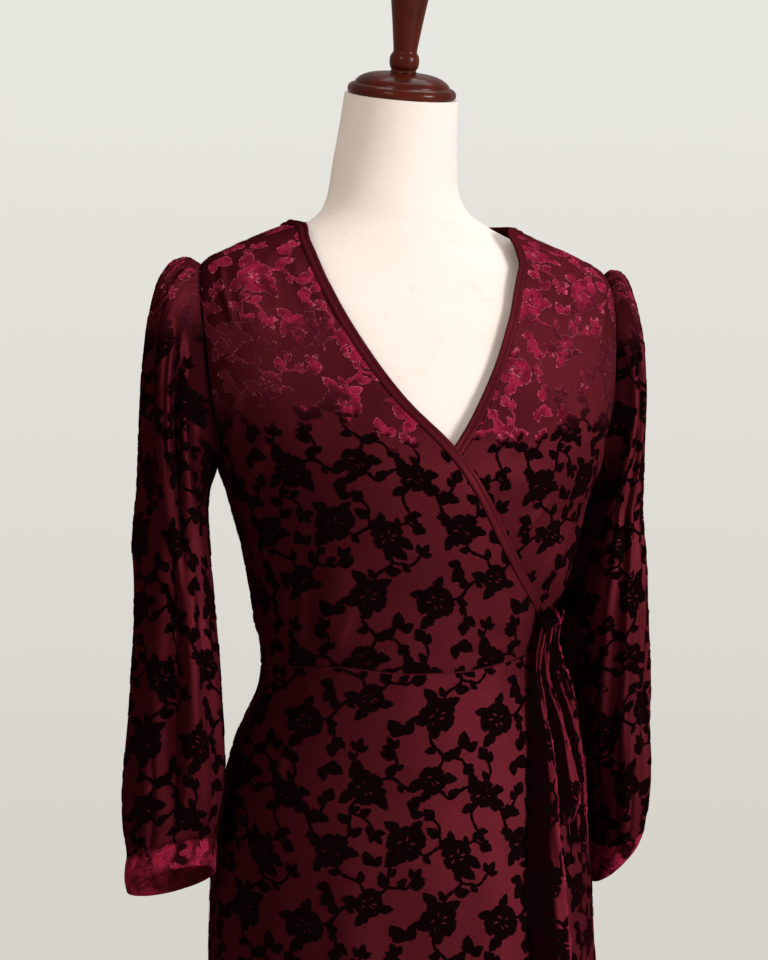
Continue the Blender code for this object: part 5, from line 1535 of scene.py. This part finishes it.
def pile_finish(name, low, high, by_height=0.0, toward=(0.0, 0.0, 1.0), sheen=0.06, outline_glint_share=0.45,
                turns=PAINTED_LIGHT_HEIGHT):
    """Velvet pile, near black face on, with painted light: crimson where the cloth faces a side, brighter
    higher up.
    """
    f = Finish(name, Roughness=0.9, Sheen_Weight=sheen, Sheen_Roughness=0.3,
               Sheen_Tint=(0.85, 0.06, 0.16, 1.0), Specular_IOR_Level=0.0)
    height = f.height()
    # painted light: higher up the body the pile is painted brighter
    painted_light_by_height = f.times(f.maths("SUBTRACT", height, turns), by_height)
    painted_light_by_height = f.maths("MAXIMUM", f.maths("MINIMUM", painted_light_by_height, PAINTED_LIGHT_GAIN), -PAINTED_LIGHT_GAIN / 2)
    patches = f.span(f.noise(34.0, 3.0, 0.6), 0.32, 0.62, -0.12, 0.10)
    # painted light: crimson where the cloth faces toward, more so higher up
    lit = f.span(f.maths("ADD", f.maths("ADD", f.turned_to(toward, 0.0, 1.0), painted_light_by_height), patches), low, high)
    hairs = f.times(f.hairs(), f.spots(95.0, 0.36, 0.62, 2.0, 0.6))
    shaded = f.mix(hairs, scaled(PILE_BRIGHT, 0.30), PILE_BRIGHT)
    rim = f.node("ShaderNodeAttribute", {"attribute_name": "rim"}).outputs["Fac"]
    # painted highlights: pink glints along the motif's outline and over the lit pile; the outline ones also
    # on unlit pile higher up
    outline_glint = f.times(f.times(f.span(rim, 0.30, 0.0), f.spots(900.0, 0.46, 0.60, 1.0)), outline_glint_share)
    glint = f.mix(f.times(f.spots(2300.0, 0.66, 0.80, 0.0), 0.25), shaded, (0.70, 0.16, 0.24))
    glint = f.mix(outline_glint, glint, (0.78, 0.20, 0.28))
    # painted shade: unlit pile is near black low down and painted dark crimson higher up
    upper = f.span(height, turns, turns + PAINTED_LIGHT_BLEND)
    unlit = f.mix(upper, PILE_BLACK, PILE_DARK)
    unlit = f.mix(f.times(upper, outline_glint), unlit, (0.42, 0.09, 0.11))
    f.set("Base Color", f.mix(lit, unlit, glint))
    f.pile_relief(170.0, 0.0004, 0.3)
    return f.made


def crushed_finish(name, bright, dark, patch_scale, sparkle=0.45):
    """Velvet pile lying every way: crimson and near black in patches, with painted pink glints."""
    f = Finish(name, Roughness=0.88, Sheen_Weight=0.25, Sheen_Roughness=0.3,
               Sheen_Tint=(0.85, 0.08, 0.18, 1.0), Specular_IOR_Level=0.0)
    hairs = f.times(f.hairs(), 0.8)
    sparks = f.times(f.spots(700.0, 0.60, 0.74, 2.0, 0.7), sparkle)
    lit = f.mix(sparks, f.mix(hairs, scaled(bright, 0.35), bright), (0.78, 0.22, 0.30))
    f.set("Base Color", f.mix(f.spots(patch_scale, 0.42, 0.60, 3.0, 0.6), dark, lit))
    f.pile_relief(120.0, 0.0008, 0.5)
    return f.made


def cover_finish():
    """The form's cotton cover: warm white, fine woven, with faint stains and lint."""
    f = Finish("form_cover_cotton", Roughness=0.92, Sheen_Weight=0.15, Sheen_Roughness=0.5,
               Specular_IOR_Level=0.15)
    base = f.mix(f.spots(7.0, 0.35, 0.75, 4.0, 0.6), (0.885, 0.812, 0.775), (0.840, 0.745, 0.685))
    stains = f.times(f.spots(26.0, 0.56, 0.74, 4.0, 0.7), 0.30)
    lint = f.times(f.spots(260.0, 0.70, 0.78, 2.0, 0.6), 0.20)
    base = f.mix(stains, base, (0.640, 0.500, 0.410))
    f.set("Base Color", f.mix(lint, base, (0.52, 0.43, 0.36)))
    warp, weft = (f.waves(axis, 420.0, 0.8) for axis in "XZ")
    woven = f.bump(f.maths("ADD", warp, weft), 0.00016, 0.5)
    f.bump(f.noise(40.0, 3.0), 0.0010, 0.15, woven)
    return f.made


def wood_finish():
    """Red-brown turned wood under a glossy lacquer."""
    f = Finish("dark_lacquered_wood", Roughness=0.40, Coat_Weight=0.22, Coat_Roughness=0.08,
               Coat_IOR=1.4, Specular_IOR_Level=0.08)
    stretched = f.node("ShaderNodeMapping", Vector=f.place, Scale=(70.0, 70.0, 7.0)).outputs["Vector"]
    grain = f.span(f.noise(1.0, 5.0, 0.65, stretched), 0.34, 0.68)
    base = f.mix(grain, (0.080, 0.0085, 0.0036), (0.022, 0.0026, 0.0014))
    f.set("Base Color", f.mix(f.times(f.spots(14.0, 0.30, 0.70), 0.5), base, (0.100, 0.0120, 0.0050)))
    f.set("Roughness", f.span(grain, 0.0, 1.0, 0.26, 0.40))
    f.bump(grain, 0.0002, 0.15)
    return f.made


def plain_finish(name, colour, roughness, scale, depth):
    """A matt finish with a faint unevenness, for thread and floor."""
    f = Finish(name, Roughness=roughness, Specular_IOR_Level=0.2)
    f.set("Base Color", f.mix(f.spots(scale, 0.3, 0.7), colour, scaled(colour, depth)))
    return f.made


# ---- sewing
def stitches(name, line, normal, finish):
    """A row of short stitches along a line of points."""
    length = run_of(line)
    at = np.arange(STITCH_PITCH / 2, length[-1], STITCH_PITCH)
    slopes = np.gradient(line, length, axis=0)
    place, out, ahead = (joined(*(np.interp(at, length, values) for values in table.T))
                         for table in (line, normal, slopes))
    ahead = unit(ahead)
    half = ahead * STITCH_LONG / 2
    up, wide = out * STITCH_RADIUS, np.cross(ahead, out) * STITCH_RADIUS
    corners = np.stack([place - half, place - wide, place + up, place + wide, place - up, place + half],
                       axis=1)
    faces = np.array(STITCH_FACES) + len(corners[0]) * np.arange(len(at))[:, None, None]
    add(name, face_mesh(name, corners, faces.reshape(-1, 3)), finish)


def body_line(angle, height, out):
    """Places and outward normals along a line on the cloth."""
    place = on_cloth(angle, height, out)
    return place, unit(on_cloth(angle, height, out + PROBE) - place)


# ---- finishes
GROUND = ground_finish("velvet_ground", (0.122, 0.0132, 0.0215), (0.080, 0.0088, 0.0142))
# The right sleeve's ground: a darker copy as painted shade, painted darker still where it turns from the
# light's side.
SLEEVE_GROUND = ground_finish("velvet_sleeve_ground", (0.104, 0.0106, 0.0175), (0.064, 0.0066, 0.0110),
                              (-0.50, 0.10), painted_shade_heights=PAINTED_SHADE_HEIGHTS)
TRIM = ground_finish("velvet_trim_ground", (0.112, 0.0118, 0.0190), (0.078, 0.0084, 0.0134))
# The ties' ground: a brighter copy as painted light where it faces the light's side, painted near black
# shade where it turns away.
TIE_GROUND = ground_finish("velvet_tie_ground", (0.260, 0.0260, 0.0440), (0.180, 0.0180, 0.0300),
                           (0.48, 1.0), 0.02)
# Piles painted crimson as lit where the cloth faces up or, on the ties and knot, the light's side.
PILE = pile_finish("velvet_pile", 0.28, 0.46, 2.2)
SLEEVE_PILE = pile_finish("velvet_pile_sleeve", 0.34, 0.56, 2.2, turns=SLEEVE_PAINTED_LIGHT_HEIGHT)
TIE_PILE = pile_finish("velvet_pile_tie", 0.50, 0.78, toward=TIE_SIDE, outline_glint_share=0.3)
KNOT_PILE = pile_finish("velvet_pile_knot", 0.30, 0.72, toward=TIE_SIDE, sheen=0.20, outline_glint_share=0.0)
# Painted highlight for the ties' rolled edges: bright crimson pile with painted pink glints.
LIT_PILE = crushed_finish("velvet_pile_lit", (0.60, 0.030, 0.090), (0.060, 0.0050, 0.0090), 75.0, 0.9)
CUFF = crushed_finish("velvet_cuff", (0.30, 0.014, 0.045), (0.060, 0.0050, 0.0085), 48.0)
CUFF_PILE = crushed_finish("velvet_cuff_pile", (0.42, 0.020, 0.068), (0.014, 0.0020, 0.0028), 60.0)
THREAD = plain_finish("thread", (0.055, 0.006, 0.011), 0.7, 700.0, 0.6)
COVER = cover_finish()
WOOD = wood_finish()
MOTIF = gathered([*flowers(), *stems(), *pairs()])


# ---- body of the dress
def constant(value):
    """The same height at every angle."""
    return lambda angle: np.full(np.shape(angle), value)


def panel(name, grid, edges, low_height, high_height, zero, drop):
    """A panel of the body and its motif, which stays between two edges and two heights."""
    angle, height = grid[..., 0], grid[..., 1]
    out = -under_drop(angle, height) if drop else 0.0
    cloth(name, on_cloth(angle, height, out), GROUND)
    surface = body_surface(BodyMap(zero), edges, low_height, high_height, drop)
    half = max(abs(edge[:, 0] - zero).max() for edge in edges)
    across = min(MAP_REACH, math.radians(half) * WIDEST_RADIUS)
    up = (height.min() - WAIST[0].height - PANEL_BELOW, height.max() - WAIST[0].height + PANEL_ABOVE)
    pile_mesh(name, surface, (-across, across), up, PILE)


def seen_lower_edge(grid):
    """Where the motif of the lower front starts: at its own edge or just under the upper front."""
    own = grid[:, 0][np.argsort(grid[:, 0, 1])]
    height = np.linspace(grid[-1, 0, 1], grid[0, 0, 1], SEEN_STEPS)
    own_angle = np.interp(height, own[:, 1], own[:, 0])
    return joined(np.maximum(own_angle, column(UPPER_EDGE, "angle", height) - HIDDEN_DEGREES), height)


right_front = front_bodice(UPPER_EDGE, -90)
left_front = front_bodice(LOWER_EDGE, 90)
back = back_bodice()
neck = inset_edge(back_neck_edge(NECK_STEPS), BINDING + SEAM_GAP, 1)


def back_neck_height(angle):
    """Height of the bound back neckline."""
    return np.interp(angle, neck[:, 0], neck[:, 1])


wrap_edge = skirt_wrap_edge()
right_skirt = skirt_panel(wrap_edge.copy(), skirt_side(FRONT[0]), SKIRT_COLUMNS)
left_skirt = skirt_panel(skirt_side(FRONT[1]), skirt_side(LOWER_SKIRT_END), SKIRT_COLUMNS)
back_skirt = skirt_panel(skirt_side(BACK[1]), skirt_side(BACK[0]), BACK_COLUMNS)
top, hem = constant(NECK_POINT), constant(HEM)
for name, grid, edges, low_height, high_height, zero, drop in (
    ("bodice_front_right", right_front, (right_front[:, -1], right_front[:, 0]),
     waist_height, top, -25, False),
    ("bodice_front_left", left_front, (seen_lower_edge(left_front), left_front[:, -1]),
     waist_height, top, 40, True),
    ("bodice_back", back, (back[:, 0], back[:, -1]), waist_height, back_neck_height, 180, False),
    ("skirt_front_right", right_skirt, (skirt_side(FRONT[0]), wrap_edge), hem, waist_height, -15, False),
    ("skirt_front_left", left_skirt, (wrap_edge - [HIDDEN_DEGREES, 0], skirt_side(FRONT[1])),
     hem, waist_height, 50, True),
    ("skirt_back", back_skirt, (skirt_side(BACK[0]), skirt_side(BACK[1])), hem, waist_height, 180, False),
):
    panel(name, grid, edges, low_height, high_height, zero, drop)

# ---- bindings and the seams' stitches
for name, edge, way, limits, drop in (
    ("binding_right_front", along(UPPER_EDGE, EDGE_POINTS), 1, FRONT, False),
    ("binding_left_front", along(LOWER_EDGE, EDGE_POINTS), -1, FRONT, True),
    ("binding_back_neck", back_neck_edge(BACK_NECK_COLUMNS + 1), 1, BACK, False),
):
    binding(name, edge, way, limits, drop, TRIM)
    line = inset_edge(edge, BINDING * BINDING_STITCHES, way)[2:-2]
    angle, height = np.clip(line[:, 0], *limits), line[:, 1]
    out = BINDING_LIFT + BINDING_WALL / 2 - (under_drop(angle, height) if drop else 0.0)
    stitches(f"stitches_{name}_0", *body_line(angle, height, out), THREAD)

turn = np.linspace(-90, 270, SEAM_STEPS)
seam_out = WALL / 2 + STITCH_RADIUS * 0.5
for name, height in (("waist_0", waist_height(turn) + WAIST_STITCH),
                     ("waist_1", waist_height(turn) - WAIST_STITCH),
                     ("hem", np.full(turn.shape, HEM + HEM_DEPTH))):
    stitches("stitches_" + name, *body_line(turn, height, seam_out), THREAD)

# ---- sleeves, cuffs and ties
for name, side, sleeve_rows, cuff_rows, ground in (("right", -1, SLEEVE_RIGHT, CUFF_RIGHT, SLEEVE_GROUND),
                                                   ("left", 1, SLEEVE_LEFT, CUFF_LEFT, GROUND)):
    grid = sleeve_grid(side, HEAD_PUFF[name], sleeve_rows, SLEEVE_CREASES[name])
    cloth("sleeve_" + name, grid, ground, closed=True)
    pile_mesh("sleeve_" + name, *grid_surface(grid, True, SLEEVE_SEAM * SLEEVE_FINENESS, side), SLEEVE_PILE)
    grid = cuff_grid(side, cuff_rows)
    cloth("cuff_" + name, grid, CUFF, CUFF_WALL, True)
    pile_mesh("cuff_" + name, *grid_surface(grid, True, CUFF_COLUMNS // 2, side), CUFF_PILE)
    aside = outward(grid)
    for row in CUFF_STITCH_ROWS:
        closed, out = (np.concatenate([table[row], table[row, :1]]) for table in (grid, aside))
        line = closed + out * (CUFF_WALL / 2 + STITCH_RADIUS * 0.5)
        stitches(f"stitches_cuff_{name}_{row}", line, out, THREAD)

for name, rows in TIES.items():
    grid = ribbon_grid(rows, *RIPPLES[name])
    cloth(name, grid, TIE_GROUND, TIE_WALL)
    pile_mesh(name, *grid_surface(grid), TIE_PILE)
    if name != "tie_side":
        edge_roll(name + "_roll", grid, LIT_PILE)
knot_piece(KNOT_PILE)

# ---- the objects that lie on each cut of cloth, gathered but not used further
for cut in CUTS:
    on_it = [item for item in bpy.data.objects
             if item.name.startswith((cut.name + "_pile", cut.name + "_roll", "stitches_" + cut.name))]

# ---- form and stand
form_piece(COVER)
neck_top = FORM[-1]
lean = math.radians(neck_top.lean)
for name, profile, start in (("neck_cap", CAP_PROFILE, PART_GAP),
                             ("finial", FINIAL_PROFILE, CAP_PROFILE[0][1] + 2 * PART_GAP)):
    place = (0.0, neck_top.centre_y - start * math.sin(lean), neck_top.height + start * math.cos(lean))
    turned(name, profile, WOOD, place, lean)
turned("pole_collar", COLLAR_PROFILE, WOOD, (0.0, 0.0, FORM[0].height - PART_GAP))
turned("pole", POLE_PROFILE, WOOD, (0.0, 0.0, BASE_PROFILE[0][1] + PART_GAP))
turned("base", BASE_PROFILE, WOOD)

# ---- stage
turn = np.linspace(0, 2 * math.pi, STAGE_SEGMENTS, endpoint=False)
disc = face_mesh("floor", joined(FLOOR_RADIUS * np.cos(turn), FLOOR_RADIUS * np.sin(turn), 0.0),
                 [range(STAGE_SEGMENTS)])
disc.materials.append(plain_finish("pale_floor", (0.72, 0.715, 0.69), 0.8, 3.0, 0.97))
place_in_scene("floor", disc)


def wall_finish():
    """The plain pale wall of the studio, a little lighter higher up."""
    f = Finish("studio_wall")
    ramp = f.node("ShaderNodeMapRange", Value=f.height(), From_Min=DOME_LOW, From_Max=DOME_HIGH).outputs[0]
    shine = f.node("ShaderNodeEmission", Color=f.mix(ramp, WALL_LOW, WALL_HIGH)).outputs[0]
    f.tree.links.new(shine, f.tree.nodes["Material Output"].inputs["Surface"])
    f.tree.nodes.remove(f.shader)
    return f.made


# A far dome that only the camera sees.
up = np.radians(np.linspace(-DOME_POLE, DOME_POLE, DOME_RINGS))[:, None]
points = DOME_RADIUS * joined(np.cos(up) * np.cos(turn), np.cos(up) * np.sin(turn), np.sin(up))
wall = face_mesh("studio_wall", points, grid_faces(DOME_RINGS, STAGE_SEGMENTS, True))
wall.materials.append(wall_finish())
wall.shade_smooth()
dome = place_in_scene("studio_wall", wall)
for ray in ("diffuse", "glossy", "transmission", "shadow"):
    setattr(dome, "visible_" + ray, False)

for lamp in LAMPS:
    light = bpy.data.lights.new(lamp.name, "AREA")
    light.shape = "SQUARE"
    light.size = lamp.size
    light.energy = lamp.power
    light.color = lamp.colour
    placed = place_in_scene(lamp.name, light)
    placed.location = lamp.place
    placed.rotation_euler = (Vector(lamp.target) - Vector(lamp.place)).to_track_quat("-Z", "Y").to_euler()

world = bpy.data.worlds.new("studio")
world.use_nodes = True
sky = world.node_tree.nodes["Background"].inputs
sky["Color"].default_value = (*AMBIENT, 1)
sky["Strength"].default_value = AMBIENT_STRENGTH
bpy.context.scene.world = world
bpy.context.scene.view_settings.view_transform = "Standard"

lens = bpy.data.cameras.new("camera")
lens.angle = 2 * math.atan(HALF_IMAGE / FOCAL_PIXELS)
lens.clip_end = CAMERA_FAR
camera = place_in_scene("camera", lens)
way = math.radians(VIEW_DEGREES)
ahead = Vector((math.sin(way), math.cos(way), 0))
aside = Vector((math.cos(way), -math.sin(way), 0))
camera.location = Vector((0, 0, CAMERA_HEIGHT)) - CAMERA_DISTANCE * ahead - CAMERA_SHIFT * aside
camera.rotation_euler = (math.radians(90), 0, -way)
bpy.context.scene.camera = camera

bpy.context.view_layer.update()
